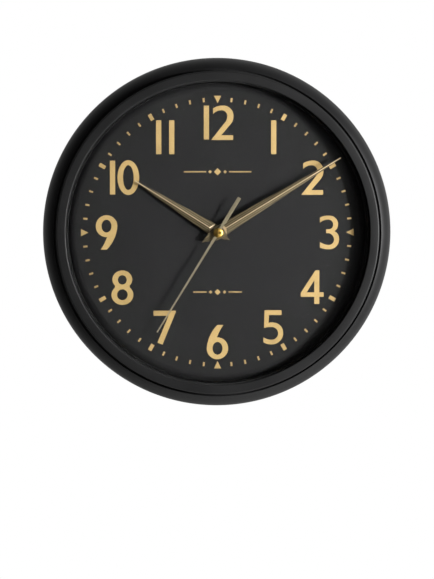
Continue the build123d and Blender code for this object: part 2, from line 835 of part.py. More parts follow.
def gear(teeth, module, where, back, thickness, first_tooth):
    """Adds a toothed disc; first_tooth is the angle of one tooth, anticlockwise from +X."""
    with BuildSketch(face_plane(back, *where)) as teeth_face:
        with BuildLine():
            Polyline(*tooth_profile(teeth, module, first_tooth), close=True)
        make_face()
    extrude(teeth_face.sketch, amount=thickness)


def shaft(radius, where, back, front, mode=Mode.ADD):
    disc(radius, back, front, *where, mode=mode)


def spokes(where, rim, hub, back, thickness, count=4):
    """Cuts round windows through a wheel's web."""
    window = min((rim - hub) / 2 - 0.5, 0.62 * (rim + hub) / 2 * sin(pi / count))
    for i in range(count):
        x, z = at((rim + hub) / 2, 45 + 360 * i / count)
        disc(window, back, back + thickness, where[0] + x, where[1] + z, mode=Mode.SUBTRACT)


def mating_gap(teeth, towards):
    """First-tooth angle that puts a gap of this gear on the line towards its mate."""
    return towards + 180 / teeth


on_axis = (0.0, 0.0)

with BuildPart() as hour_wheel:
    gear(hour_teeth, hour_module, on_axis, level_1, wheel_thickness, 165)
    shaft(hour_tube, on_axis, level_1, hour_depth + sheet + tube_proud)
    shaft(hour_bore, on_axis, level_1, hour_depth + sheet + tube_proud, mode=Mode.SUBTRACT)
    spokes(on_axis, hour_teeth * hour_module / 2 - rim_width, hour_tube + 0.3, level_1, wheel_thickness)
save(hour_wheel.part, "hour_wheel")

with BuildPart() as centre_wheel:
    gear(centre_teeth, centre_module, on_axis, level_3, wheel_thickness, 100)
    centre_rim = centre_teeth * centre_module / 2 - rim_width
    spokes(on_axis, centre_rim, minute_tube + 1.0, level_3, wheel_thickness)
    gear(cannon_teeth, motion_module, on_axis, level_2, pinion_thickness, mating_gap(cannon_teeth, 165))
    shaft(minute_tube, on_axis, level_3, minute_depth + sheet + tube_proud)
    shaft(minute_bore, on_axis, level_3, minute_depth + sheet + tube_proud, mode=Mode.SUBTRACT)
save(centre_wheel.part, "centre_wheel")

with BuildPart() as reverser_wheel:
    gear(reverser_teeth, motion_module, reverser_at, level_2, wheel_thickness, 165 + 180)
    gear(reverser_pinion_teeth, hour_module, reverser_at, level_2 + wheel_thickness,
         level_1 + pinion_pass - level_2, mating_gap(reverser_pinion_teeth, 165 + 180))
    shaft(post + post_clearance, reverser_at, level_2, level_1 + 2 * wheel_thickness, mode=Mode.SUBTRACT)
save(reverser_wheel.part, "reverser_wheel")

with BuildPart() as third_wheel:
    gear(third_teeth, third_module, third_at, level_4, wheel_thickness, 100 + 180)
    spokes(third_at, third_teeth * third_module / 2 - rim_width, wheel_hub, level_4, wheel_thickness)
    gear(third_pinion_teeth, centre_module, third_at, level_4 + wheel_thickness,
         level_3 + pinion_pass - level_4, mating_gap(third_pinion_teeth, 100 + 180))
    shaft(arbor, third_at, back_wall + 0.2, front_wall - 0.2)
    shaft(pivot, third_at, back_wall - pivot_depth + 0.1, front_wall + pivot_depth - 0.1)
save(third_wheel.part, "third_wheel")

with BuildPart() as seconds_wheel:
    gear(seconds_teeth, seconds_module, on_axis, level_5, wheel_thickness, 20)
    spokes(on_axis, seconds_teeth * seconds_module / 2 - rim_width, wheel_hub, level_5, wheel_thickness)
    gear(seconds_pinion_teeth, third_module, on_axis, level_5 + wheel_thickness,
         level_4 + pinion_pass - level_5, mating_gap(seconds_pinion_teeth, 100))
    shaft(arbor, on_axis, back_wall + 0.2, cap_base + 0.3)
    shaft(pivot, on_axis, back_wall - pivot_depth + 0.1, back_wall + 0.2)
save(seconds_wheel.part, "seconds_wheel")

with BuildPart() as idler_wheel:
    gear(idler_teeth, idler_module, idler_at, level_6, idler_thickness, 20)
    spokes(idler_at, idler_teeth * idler_module / 2 - rim_width, wheel_hub, level_6, idler_thickness)
    pinion_back = level_6 + idler_thickness
    gear(idler_pinion_teeth, seconds_module, idler_at, pinion_back,
         level_5 + wheel_thickness + pinion_pass - pinion_back, mating_gap(idler_pinion_teeth, 20 + 180))
    shaft(arbor, idler_at, back_wall + 0.2, front_wall - 0.2)
    shaft(pivot, idler_at, back_wall - pivot_depth + 0.1, front_wall + pivot_depth - 0.1)
save(idler_wheel.part, "idler_wheel")

magnet_back, magnet_front = level_5 + 0.7, level_3 + 0.5
with BuildPart() as rotor_pinion:
    pinion_back = level_6 - pinion_pass
    gear(rotor_teeth, idler_module, rotor_at, pinion_back, pinion_thickness,
         mating_gap(rotor_teeth, 20 + 180))
    shaft(rotor_hub, rotor_at, level_6, magnet_back)
    shaft(arbor, rotor_at, back_wall + 0.2, front_wall - 0.2)
    shaft(pivot, rotor_at, back_wall - pivot_depth + 0.1, front_wall + pivot_depth - 0.1)
save(rotor_pinion.part, "rotor_pinion")

with BuildPart() as rotor_magnet:
    disc(magnet_radius, magnet_back, magnet_front, *rotor_at, inner=arbor + bond_gap)
save(rotor_magnet.part, "rotor_magnet")

# the knob's pinion meets the reverser, whose teeth are already set by the cannon pinion
reverser_phase = (150 - (165 + 180)) / (360 / reverser_teeth) % 1
knob_first = 150 + 180 + (reverser_phase + 0.5) * 360 / knob_teeth
knob_back = knob_to_wall
with BuildPart() as setting_knob:
    gear(knob_teeth, motion_module, knob_at, level_2, wheel_thickness, knob_first)
    shaft(knob_shaft, knob_at, knob_back + 1.0, front_wall - 0.2)
    shaft(pivot, knob_at, front_wall - 0.2, front_wall + pivot_depth - 0.1)
    shaft(knob_radius, knob_at, knob_back, knob_back + knob_height)
    for i in range(knob_flutes):
        x, z = at(knob_radius + 0.15, 360 * i / knob_flutes)
        flute_at = (knob_at[0] + x, knob_at[1] + z)
        shaft(flute_radius, flute_at, knob_back, knob_back + knob_height, mode=Mode.SUBTRACT)
    shaft(knob_radius - 1.6, knob_at, knob_back, knob_back + 0.5, mode=Mode.SUBTRACT)
save(setting_knob.part, "setting_knob")

# ---------------------------------------------------------------- movement shells
split_depth = movement_front - front_shell_depth
cell_at = (-cell_nub / 2, (bay_top + bay_low) / 2, movement_back + cell_radius + cell_clearance)


def movement_block(back, front, margin=0.0, mode=Mode.ADD):
    """The movement's rounded outline, grown by margin, between two depths."""
    with BuildSketch(face_plane(back, 0, (movement_rise + movement_low) / 2)) as face:
        RectangleRounded(2 * (movement_half + margin), movement_rise - movement_low + 2 * margin,
                         movement_corner + margin)
    extrude(face.sketch, amount=front - back, mode=mode)


def pivot_cup(where, from_front):
    """A low boss with a blind hole for an arbor's pivot."""
    if from_front:
        shaft(cup_boss, where, front_wall - 0.1, front_wall)
        shaft(pivot + pivot_clearance, where, front_wall - 0.1, front_wall + pivot_depth, mode=Mode.SUBTRACT)
    else:
        shaft(cup_boss, where, back_wall, back_wall + 0.1)
        shaft(pivot + pivot_clearance, where, back_wall - pivot_depth, back_wall + 0.1, mode=Mode.SUBTRACT)


board = (-inside_half + 0.4, -13.0, 13.4, inside_high - 0.6)  # x low, x high, z low, z high
board_back, board_front = level_5 - 0.8, level_5 + 0.2
board_posts = ((board[0] + 1.6, board[2] + 1.6), (board[1] - 1.6, board[3] - 1.6))

with BuildPart() as movement_front_shell:
    movement_block(split_depth, movement_front)
    block(-inside_half, inside_half, chamber_low, inside_high, split_depth, front_wall, mode=Mode.SUBTRACT)
    block(-inside_half, inside_half, bay_low, bay_top, split_depth, front_wall, mode=Mode.SUBTRACT)
    shaft(bush_radius, on_axis, movement_front, cup_seat + washer_thickness + nut_thickness + 0.4)
    chamfer(movement_front_shell.edges().filter_by(GeomType.CIRCLE).group_by(Axis.Y)[0], length=0.4)
    shaft(hour_tube + bush_clearance, on_axis, front_wall, dial_back, mode=Mode.SUBTRACT)
    shaft(post, reverser_at, level_2 - 0.3, front_wall)
    for where in (third_at, idler_at, rotor_at, knob_at):
        pivot_cup(where, from_front=True)
    for x, z in board_posts:
        disc(1.1, board_front, front_wall, x, z)
        disc(0.5, board_back - 0.3, board_front, x, z)
save(movement_front_shell.part, "movement_front_shell")

with BuildPart() as movement_rear_shell:
    movement_block(movement_back, split_depth)
    block(-inside_half, inside_half, chamber_low, inside_high, back_wall, split_depth, mode=Mode.SUBTRACT)
    block(-inside_half, inside_half, bay_low, bay_top, movement_back, split_depth, mode=Mode.SUBTRACT)
    shaft(knob_shaft + 0.1, knob_at, movement_back, back_wall, mode=Mode.SUBTRACT)
    for where in (third_at, idler_at, rotor_at, on_axis):
        pivot_cup(where, from_front=False)
save(movement_rear_shell.part, "movement_rear_shell")

with BuildPart() as rubber_washer:
    disc(rubber_radius, movement_front, cup_back, inner=bush_radius + bond_gap)
save(rubber_washer.part, "rubber_washer")

with BuildPart() as brass_washer:
    disc(washer_radius, cup_seat, cup_seat + washer_thickness, inner=bush_radius + bond_gap)
save(brass_washer.part, "brass_washer")

nut_back = cup_seat + washer_thickness
with BuildPart() as mounting_nut:
    with BuildSketch(face_plane(nut_back)):
        RegularPolygon(nut_flats / 2, 6, major_radius=False)
        Circle(bush_radius + bond_gap, mode=Mode.SUBTRACT)
    extrude(amount=nut_thickness)
save(mounting_nut.part, "mounting_nut")

# ---------------------------------------------------------------- motor and electronics
stator_back = level_4
stator_half = magnet_radius + rotor_gap + stator_rim
coil_z = inside_high - 5.0
leg_low = rotor_at[1] + 1.5
left_leg = (rotor_at[0] - stator_half - 3.2, rotor_at[0] - stator_half)
right_leg = (inside_half - 3.0, inside_half - 0.2)
with BuildPart() as stator:
    block(left_leg[1] - 0.2, right_leg[0] + 0.2, rotor_at[1] - stator_half, rotor_at[1] + stator_half,
          stator_back, stator_back + 1)
    block(*left_leg, leg_low, coil_z + 2.0, stator_back, stator_back + 1)
    block(*right_leg, leg_low, coil_z + 2.0, stator_back, stator_back + 1)
    shaft(magnet_radius + rotor_gap, rotor_at, stator_back, stator_back + 1, mode=Mode.SUBTRACT)
    for side in (-1, 1):  # saturation notches above and below the rotor
        notch_z = rotor_at[1] + side * stator_half
        disc(0.9, stator_back, stator_back + 1, rotor_at[0], notch_z, mode=Mode.SUBTRACT)
save(stator.part, "stator")

core_back = stator_back + 1
with BuildPart() as coil_core:
    block(left_leg[0], right_leg[1], coil_z - 1.8, coil_z + 1.8, core_back, core_back + 1.2)
save(coil_core.part, "coil_core")

coil_low, coil_high = left_leg[1] + 0.3, right_leg[0] - 0.3
core_middle = core_back + 0.6
flange = 4.5
with BuildPart() as coil_bobbin:
    block(coil_low, coil_high, coil_z - 2.6, coil_z + 2.6, core_middle - 1.4, core_middle + 1.4)
    for low in (coil_low, coil_high - 0.8):
        block(low, low + 0.8, coil_z - flange, coil_z + flange, core_middle - flange, core_middle + flange)
    block(coil_low, coil_high, coil_z - 1.85, coil_z + 1.85, core_middle - 0.65, core_middle + 0.65,
          mode=Mode.SUBTRACT)
save(coil_bobbin.part, "coil_bobbin")

with BuildPart() as coil_winding:
    with BuildSketch(Plane(origin=(coil_low + 0.8, -core_middle, coil_z - axis_drop), x_dir=(0, 1, 0),
                           z_dir=(1, 0, 0))):
        RectangleRounded(2 * flange - 1.4, 2 * flange - 1.0, 2.6)
        Rectangle(2.8 + 2 * bond_gap, 5.2 + 2 * bond_gap, mode=Mode.SUBTRACT)
    extrude(amount=coil_high - coil_low - 1.6)
save(coil_winding.part, "coil_winding")

with BuildPart() as circuit_board:
    block(*board, board_back, board_front)
    for x, z in board_posts:
        disc(0.5 + bond_gap, board_back, board_front, x, z, mode=Mode.SUBTRACT)
save(circuit_board.part, "circuit_board")

crystal_radius, crystal_length = 1.0, 6.0
with BuildPart() as quartz_crystal:
    crystal_start = (board[0] + 3.0, -(board_front + crystal_radius), board[3] - 4.5 - axis_drop)
    with BuildSketch(Plane(origin=crystal_start, x_dir=(0, 1, 0), z_dir=(1, 0, 0))):
        Circle(crystal_radius)
    extrude(amount=crystal_length)
    fillet(quartz_crystal.edges().filter_by(GeomType.CIRCLE), radius=0.3)
save(quartz_crystal.part, "quartz_crystal")

with BuildPart() as driver_chip:
    chip_at = (board[0] + 8.0, board[2] + 4.0)
    with BuildSketch(section_plane(*chip_at)):
        with BuildLine():
            Polyline((0, board_front + 0.8), (0, board_front), (2.3, board_front))
            ThreePointArc((2.3, board_front), dome_middle(2.3, board_front, 0.8), (0, board_front + 0.8))
        make_face()
    revolve(axis=turn_axis(*chip_at))
save(driver_chip.part, "driver_chip")

cell_x, cell_z, cell_depth = cell_at
cell_plane = Plane(origin=(cell_x - cell_length / 2, -cell_depth, cell_z - axis_drop), x_dir=(0, 1, 0),
                   z_dir=(1, 0, 0))
with BuildPart() as battery_cell:
    with BuildSketch(cell_plane):
        Circle(cell_radius)
    extrude(amount=cell_length)
    fillet(battery_cell.edges().filter_by(GeomType.CIRCLE), radius=0.6)
    with BuildSketch(cell_plane.offset(cell_length)):
        Circle(2.7)
    extrude(amount=cell_nub)
save(battery_cell.part, "battery_cell")

plate_half = 5.0
nub_end = cell_x + cell_length / 2 + cell_nub
with BuildPart() as contact_positive:
    block(nub_end, nub_end + contact_sheet, cell_z - plate_half, cell_z + plate_half,
          cell_depth - plate_half, cell_depth + plate_half)
    block(nub_end, inside_half, cell_z - plate_half, cell_z - plate_half + contact_sheet,
          cell_depth - plate_half, cell_depth + plate_half)
save(contact_positive.part, "battery_contact_positive")

cell_end = cell_x - cell_length / 2
with BuildPart() as contact_negative:
    block(-inside_half, -inside_half + contact_sheet, cell_z - plate_half, cell_z + plate_half,
          cell_depth - plate_half, cell_depth + plate_half)
    spring_foot = (-inside_half + contact_sheet, -plate_half + 0.6)
    spring_end = (-inside_half + contact_sheet, plate_half - 0.6)
    with BuildSketch(face_plane(cell_depth - spring_width / 2, 0, cell_z)):
        with BuildLine():
            ThreePointArc(spring_foot, (cell_end, 0), spring_end)
            inner_end = (spring_end[0], spring_end[1] - 0.5)
            inner_foot = (spring_foot[0], spring_foot[1] + 0.5)
            Line(spring_end, inner_end)
            ThreePointArc(inner_end, (cell_end - contact_sheet, 0), inner_foot)
            Line(inner_foot, spring_foot)
        make_face()
    extrude(amount=spring_width)
save(contact_negative.part, "battery_contact_negative")

# ---------------------------------------------------------------- rear cover and hanger
cover_radius = rim_inner[0] - fit_gap
well_front = movement_back + well_overlap
rivets = [(side * rivet_spread / 2, axis_drop - rivet_drop) for side in (-1, 1)]


def keyhole(plane, margin, thickness):
    """Round entry with a slot above it, grown by margin, as a solid to cut away."""
    with BuildSketch(plane) as hole:
        Circle(keyhole_radius + margin)
        with Locations((0, keyhole_rise / 2)):
            Rectangle(keyhole_slot + 2 * margin, keyhole_rise)
        with Locations((0, keyhole_rise)):
            Circle(keyhole_slot / 2 + margin)
    extrude(hole.sketch, amount=thickness, mode=Mode.SUBTRACT)


with BuildPart() as rear_cover:
    disc(cover_radius, cover_recess, cover_front)
    movement_block(cover_front, well_front, well_clearance + well_wall)
    movement_block(cover_recess, well_front, well_clearance, mode=Mode.SUBTRACT)
    for x, z in bosses:
        disc(screw_clearance, cover_recess, cover_front, x, z, mode=Mode.SUBTRACT)
        disc(screw_head + 0.2, cover_recess, cover_recess + counterbore, x, z, mode=Mode.SUBTRACT)
    keyhole(face_plane(cover_recess, 0, axis_drop), head_room, cover_thickness)
    for where in rivets:
        shaft(rivet_radius + bond_gap, where, cover_recess, cover_front, mode=Mode.SUBTRACT)
save(rear_cover.part, "rear_cover")

with BuildPart() as cover_screw_set:
    head_seat = cover_recess + counterbore
    head_back = cover_recess + screw_sunk
    for x, z in bosses:
        disc(screw_shank, head_seat, cover_front + screw_length - 1, x, z)
        disc(screw_head, head_back, head_seat, x, z)
        cross(x, z, cover_cross, head_back, head_back + cross_depth)
save(cover_screw_set.part, "rear_cover_screws")

with BuildPart() as hanger_plate:
    plate_middle = (hanger_above - hanger_below) / 2
    with BuildSketch(face_plane(0, 0, axis_drop + plate_middle)) as face:
        RectangleRounded(hanger_width, hanger_above + hanger_below, hanger_corner)
    extrude(face.sketch, amount=cover_recess)
    keyhole(face_plane(0, 0, axis_drop), 0, cover_recess)
    for where in rivets:
        shaft(rivet_radius + bond_gap, where, 0, cover_recess, mode=Mode.SUBTRACT)
save(hanger_plate.part, "hanger_plate")

with BuildPart() as hanger_rivets:
    for where in rivets:
        shaft(rivet_radius, where, 0, cover_front)
        shaft(2 * rivet_radius, where, cover_front, cover_front + 1.1)
save(hanger_rivets.part, "hanger_rivets")

print("case depth", round(case_depth, 2), "dial front", round(dial_front, 2))
print("hands", round(hour_length, 1), round(minute_length, 1), round(seconds_length, 1))
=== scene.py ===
# %% [markdown]
# # A round wall clock with a deep black case
#
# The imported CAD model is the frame: it already holds every part at its real size and place, from
# the case down to the gears. This lesson dresses it. Large turned parts and the hands are built
# again as finer meshes on the same sizes, small parts keep their CAD mesh, and every surface gets
# a material made of nodes.

# %% Load the frame
from math import asin, atan2, cos, degrees, pi, radians, sin, tan

import bmesh
import bpy
from mathutils import Matrix, Vector


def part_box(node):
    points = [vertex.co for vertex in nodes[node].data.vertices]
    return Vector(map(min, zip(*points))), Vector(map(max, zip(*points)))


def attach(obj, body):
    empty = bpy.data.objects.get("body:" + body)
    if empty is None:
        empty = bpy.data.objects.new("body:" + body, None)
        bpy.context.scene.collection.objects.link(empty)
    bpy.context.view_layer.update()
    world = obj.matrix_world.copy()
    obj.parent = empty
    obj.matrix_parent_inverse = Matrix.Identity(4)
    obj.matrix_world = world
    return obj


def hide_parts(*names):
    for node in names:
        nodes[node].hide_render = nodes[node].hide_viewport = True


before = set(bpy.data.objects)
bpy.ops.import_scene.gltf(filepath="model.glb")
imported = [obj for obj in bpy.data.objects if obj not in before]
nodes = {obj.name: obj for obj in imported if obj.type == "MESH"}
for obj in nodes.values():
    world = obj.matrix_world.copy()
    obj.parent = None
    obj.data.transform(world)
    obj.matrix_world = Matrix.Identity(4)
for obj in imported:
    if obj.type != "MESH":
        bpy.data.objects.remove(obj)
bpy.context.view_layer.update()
MM = 0.001

# %% [markdown]
# Everything on a clock is measured from one line, the hands' axis, and from one plane, the wall.
# Both are read from the frame: the axis runs through the middle of the dial, and a depth is the
# distance from the wall towards the viewer, in millimetres.

# %% Axis and depths
dial_low, dial_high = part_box("dial")
AXIS_Z = (dial_low.z + dial_high.z) / 2


def front_of(node):
    """Depth of a part's front, in millimetres from the wall."""
    return -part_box(node)[0].y / MM


def back_of(node):
    return -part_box(node)[1].y / MM


def radius_of(node):
    low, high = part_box(node)
    return (high.x - low.x) / 2 / MM


case_radius = radius_of("case_shell")
case_depth = front_of("bezel_ring")
print(f"axis {AXIS_Z / MM:.1f} mm from the hanger, case {2 * case_radius:.1f} x {case_depth:.1f} mm")

# %% [markdown]
# ## Camera and light
#
# The clock is seen almost straight on with a long lens, from a little to the left and above. A
# long lens keeps the ring round and the case's side hidden. The frame has empty space under the
# clock, so the lens is shifted instead of tilted.

# %% Camera
CAMERA_DISTANCE = 1.8
CAMERA_LEFT, CAMERA_UP = radians(2.4), radians(2.3)
WIDEST_DEPTH = 26.8  # of the case, in mm: the circle that the outline shows

target = Vector((0, -WIDEST_DEPTH * MM, AXIS_Z))
camera_data = bpy.data.cameras.new("camera")
camera_data.lens = 152.6
camera_data.shift_x, camera_data.shift_y = -0.0003, -0.0993
camera = bpy.data.objects.new("camera", camera_data)
bpy.context.scene.collection.objects.link(camera)
direction = Vector((-sin(CAMERA_LEFT) * cos(CAMERA_UP), -cos(CAMERA_LEFT) * cos(CAMERA_UP), sin(CAMERA_UP)))
camera.location = target + direction * CAMERA_DISTANCE
camera.rotation_euler = direction.to_track_quat("Z", "Y").to_euler()
bpy.context.scene.camera = camera
bpy.context.scene.view_settings.view_transform = "Standard"
print("camera", [round(c, 3) for c in camera.location])

# %% [markdown]
# A tall narrow softbox stands on the right. It is narrow, so it throws a crisp shadow of the
# ring and of the hands to the left, and tall, so shadows at the top and bottom are soft. A
# larger, weaker light fills from the front left.

# %% Softboxes
KEY_WATTS, FILL_WATTS = 23.0, 0.6
ROOM_FRONT, ROOM_BACK = 0.004, 0.45


def softbox(name, across, ahead, up, width, height, watts):
    """A rectangular light placed in metres from the hands' axis and turned to face the dial."""
    data = bpy.data.lights.new(name, "AREA")
    data.shape = "RECTANGLE"
    data.size, data.size_y = width, height
    data.energy = watts
    light = bpy.data.objects.new(name, data)
    bpy.context.scene.collection.objects.link(light)
    light.location = (across, -ahead, AXIS_Z + up)
    look = Vector((0, -case_depth * MM, AXIS_Z)) - light.location
    light.rotation_euler = look.to_track_quat("-Z", "Y").to_euler()


softbox("key_strip", 1.0, 0.86, 0.02, 0.07, 0.32, KEY_WATTS)
softbox("fill_box", -0.50, 1.30, 0.25, 0.6, 0.8, FILL_WATTS)
print("key", KEY_WATTS, "W, fill", FILL_WATTS, "W")

# %% [markdown]
# A black gloss object is shown by what it mirrors. The room is white behind and beside the clock,
# which draws a bright line round the rolled edge, and dark behind the camera, which keeps the
# glass clear and the dial deep. The world shader blends the two by the direction of a ray. The
# camera itself sees an even white backdrop.

# %% Room


def put(tree, kind, inputs=None, **settings):
    """Adds a node. inputs maps a socket to a value or to another node's output."""
    node = tree.nodes.new(kind if kind.startswith("Node") else "ShaderNode" + kind)
    for name, value in settings.items():
        setattr(node, name, value)
    for socket, value in (inputs or {}).items():
        if isinstance(value, bpy.types.NodeSocket):
            tree.links.new(value, node.inputs[socket])
        else:
            node.inputs[socket].default_value = value
    return node


room = bpy.data.worlds.new("studio_room")
bpy.context.scene.world = room
room.use_nodes = True
tree = room.node_tree
tree.nodes.clear()
ray = put(tree, "SeparateXYZ", {0: put(tree, "TexCoord").outputs["Generated"]})
depth_ramp = put(tree, "MapRange", {"Value": ray.outputs["Y"], "From Min": -0.5, "From Max": 0.7,
                                    "To Min": ROOM_FRONT, "To Max": ROOM_BACK},
                 interpolation_type="SMOOTHSTEP")
side_ramp = put(tree, "MapRange", {"Value": ray.outputs["X"], "From Min": -1.0, "From Max": 1.0,
                                   "To Min": 0.6, "To Max": 1.5})
strength = put(tree, "Math", {0: depth_ramp.outputs[0], 1: side_ramp.outputs[0]}, operation="MULTIPLY")
white = (1, 1, 1, 1)
lit = put(tree, "Background", {"Color": white, "Strength": strength.outputs[0]})
backdrop = put(tree, "Background", {"Color": white, "Strength": 1.0})
seen = put(tree, "LightPath").outputs["Is Camera Ray"]
choose = put(tree, "MixShader", {0: seen, 1: lit.outputs[0], 2: backdrop.outputs[0]})
put(tree, "OutputWorld", {0: choose.outputs[0]})
print("room: front", ROOM_FRONT, "back", ROOM_BACK)

# %% [markdown]
# A pale round table top lies well below the clock. It is a stage, not part of the clock, and
# shows only when the clock is seen from above.

# %% Floor
FLOOR_RADIUS, FLOOR_DROP, FLOOR_EDGE = 0.9, 0.75, 0.02
floor_mesh = bmesh.new()
for k in range(96):
    a = 2 * pi * k / 96
    floor_mesh.verts.new((FLOOR_RADIUS * cos(a), FLOOR_RADIUS * sin(a), AXIS_Z - FLOOR_DROP))
floor_top = floor_mesh.faces.new(floor_mesh.verts)
floor_side = bmesh.ops.extrude_face_region(floor_mesh, geom=[floor_top])
lowered = [v for v in floor_side["geom"] if isinstance(v, bmesh.types.BMVert)]
bmesh.ops.translate(floor_mesh, verts=lowered, vec=(0, 0, -FLOOR_EDGE))
bmesh.ops.recalc_face_normals(floor_mesh, faces=floor_mesh.faces)
floor_data = bpy.data.meshes.new("floor")
floor_mesh.to_mesh(floor_data)
floor_mesh.free()
floor = bpy.data.objects.new("floor", floor_data)
bpy.context.scene.collection.objects.link(floor)

# %% [markdown]
# ## Turned parts
#
# Case, ring, glass and inner wall are all round about the same axis, so one tool makes them all.
# A lathe takes a section, a closed list of (radius, depth) points, and spins it. Real moulded
# edges are never knife sharp, so the section's corners are rounded before it is spun.

# %% Section and lathe helpers


def rounded(corners, arc_steps=5):
    """Rounds a closed section. A corner is (radius, depth) or (radius, depth, edge radius)."""
    points = []
    for i, corner in enumerate(corners):
        here = Vector(corner[:2])
        edge = corner[2] if len(corner) == 3 else 0
        if not edge:
            points.append(here)
            continue
        back = (Vector(corners[i - 1][:2]) - here).normalized()
        ahead = (Vector(corners[(i + 1) % len(corners)][:2]) - here).normalized()
        half = back.angle(ahead) / 2
        middle = here + (back + ahead).normalized() * edge / sin(half)
        start, end = here + back * edge / tan(half) - middle, here + ahead * edge / tan(half) - middle
        for k in range(arc_steps + 1):
            t = k / arc_steps
            spoke = start.slerp(end, t) if start.angle(end) > 1e-4 else start
            points.append(middle + spoke.normalized() * edge)
    return points


def arc(middle, radius, first, last, steps):
    """Points on an arc of a section, angles in degrees from straight out towards the viewer."""
    turns = [radians(first + (last - first) * k / steps) for k in range(steps + 1)]
    return [(middle[0] + radius * cos(a), middle[1] + radius * sin(a)) for a in turns]


def finish_mesh(name, bm, sharp_degrees=35):
    """Turns a bmesh into an object with smooth shading and sharp edges past an angle."""
    bmesh.ops.remove_doubles(bm, verts=bm.verts, dist=1e-7)
    bmesh.ops.recalc_face_normals(bm, faces=bm.faces)
    mesh = bpy.data.meshes.new(name)
    bm.to_mesh(mesh)
    bm.free()
    mesh.shade_smooth()
    mesh.set_sharp_from_angle(angle=radians(sharp_degrees))
    obj = bpy.data.objects.new(name, mesh)
    bpy.context.scene.collection.objects.link(obj)
    return obj


def spin(bm, section, steps=256, x=0.0, z=0.0):
    """Adds a section of (radius, depth) points in mm, spun about the arbor at x, z."""
    rings = []
    for k in range(steps):
        a = 2 * pi * k / steps
        ring = []
        for radius, depth in section:
            at = (x * MM + radius * MM * cos(a), -depth * MM, AXIS_Z + z * MM + radius * MM * sin(a))
            ring.append(bm.verts.new(at))
        rings.append(ring)
    for k in range(steps):
        this, following = rings[k], rings[(k + 1) % steps]
        for i in range(len(section)):
            j = (i + 1) % len(section)
            bm.faces.new((this[i], this[j], following[j], following[i]))


def lathe(name, section, steps=256):
    bm = bmesh.new()
    spin(bm, section, steps)
    return finish_mesh(name, bm)


print("helpers ready")

# %% [markdown]
# The case is one deep moulding. Its shoulder is a quarter round that rolls over from the ring to
# the widest line, and behind that the side tapers a little towards the wall so that the part
# leaves its mould. The inside follows at an even wall, and a ledge carries the dial.

# %% Case
SHOULDER, SHOULDER_TOP, SIDE_TAPER = 15.7, 61.9, 12.0
CASE_WALL, WEB_WALL, LEDGE = 2.4, 1.4, 8.0
FIT = 0.3
shelf_depth = back_of("bezel_ring")
dial_bore = radius_of("dial") + FIT
ledge_depth = back_of("dial")
arc_middle = (case_radius - SHOULDER, WIDEST_DEPTH)
inner_round = SHOULDER - CASE_WALL


def taper_foot(radius):
    """Where the tapered side, tangent to the shoulder's arc of this radius, meets the wall."""
    x, depth = arc(arc_middle, radius, -SIDE_TAPER, -SIDE_TAPER, 1)[0]
    return x - depth * tan(radians(SIDE_TAPER))


lip = arc(arc_middle, SHOULDER, SHOULDER_TOP, SHOULDER_TOP, 1)[0]
shelf_back = shelf_depth - CASE_WALL
pocket = degrees(asin((shelf_back - WIDEST_DEPTH) / inner_round))
web_outer, ledge_inner = dial_bore + WEB_WALL, dial_bore - LEDGE
outside = arc(arc_middle, SHOULDER, -SIDE_TAPER, SHOULDER_TOP - 1.5, 40)
inside = arc(arc_middle, inner_round, pocket, -SIDE_TAPER, 16)
case_section = rounded(
    [(taper_foot(SHOULDER), 0, 0.9)] + outside + [
        (lip[0], lip[1], 0.25), (lip[0], shelf_depth), (dial_bore, shelf_depth, 0.15),
        (dial_bore, ledge_depth), (ledge_inner, ledge_depth, 0.3), (ledge_inner, ledge_depth - CASE_WALL),
        (web_outer, ledge_depth - CASE_WALL), (web_outer, shelf_back)]
    + inside + [(taper_foot(inner_round), 0, 0.2)])
bm = bmesh.new()
spin(bm, case_section, 288)
BOSSES, BOSS_RADIUS, BOSS_HOLE = 6, 3.5, 1.2
SCREW_REACH = 11.0  # the bosses start this far behind the tips of the cover's screws
boss_back, boss_front = front_of("rear_cover_screws") - SCREW_REACH, ledge_depth - CASE_WALL
for i in range(BOSSES):
    ring = (ledge_inner + web_outer) / 2
    x, z = ring * cos(2 * pi * i / BOSSES), ring * sin(2 * pi * i / BOSSES)
    spin(bm, rounded([(BOSS_HOLE, boss_back), (BOSS_RADIUS, boss_back, 0.3), (BOSS_RADIUS, boss_front),
                      (BOSS_HOLE, boss_front)]), 32, x, z)
case_body = finish_mesh("case_body", bm, 28)
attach(case_body, "case")
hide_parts("case_shell")
print("case:", len(case_body.data.polygons), "faces")

# %% [markdown]
# The ring in front is a separate part: flat faced, with a crisp but rounded outer edge that
# catches the light, and a finer inner edge over the glass. A dark gap is left all round between
# it and the case, because the shelf that it stands on is narrower than the case's mouth.

# %% Front ring
GLASS_SEAT = 2.4
ring_outer, ring_inner = radius_of("bezel_ring"), radius_of("glass_lens") + FIT - GLASS_SEAT
glass_front, glass_back = front_of("glass_lens"), back_of("glass_lens")
seat = radius_of("glass_lens") + FIT
front_ring = lathe("front_ring", rounded([
    (ring_inner, case_depth, 0.65), (ring_outer, case_depth, 1.1), (ring_outer, shelf_depth, 0.2),
    (seat, shelf_depth), (seat, glass_front, 0.1), (ring_inner, glass_front, 0.1)], 8), 320)
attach(front_ring, "case")
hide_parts("bezel_ring")

# %% [markdown]
# Behind the ring sit the flat glass, with a tiny ground chamfer, and the inner wall, a plain
# black hoop that hides the space between dial and glass.

# %% Glass and inner wall
CHAMFER = 0.2
g = radius_of("glass_lens")
window = lathe("window", [
    (0, glass_back), (g - CHAMFER, glass_back), (g, glass_back + CHAMFER), (g, glass_front - CHAMFER),
    (g - CHAMFER, glass_front), (0, glass_front)], 256)
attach(window, "case")
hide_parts("glass_lens")

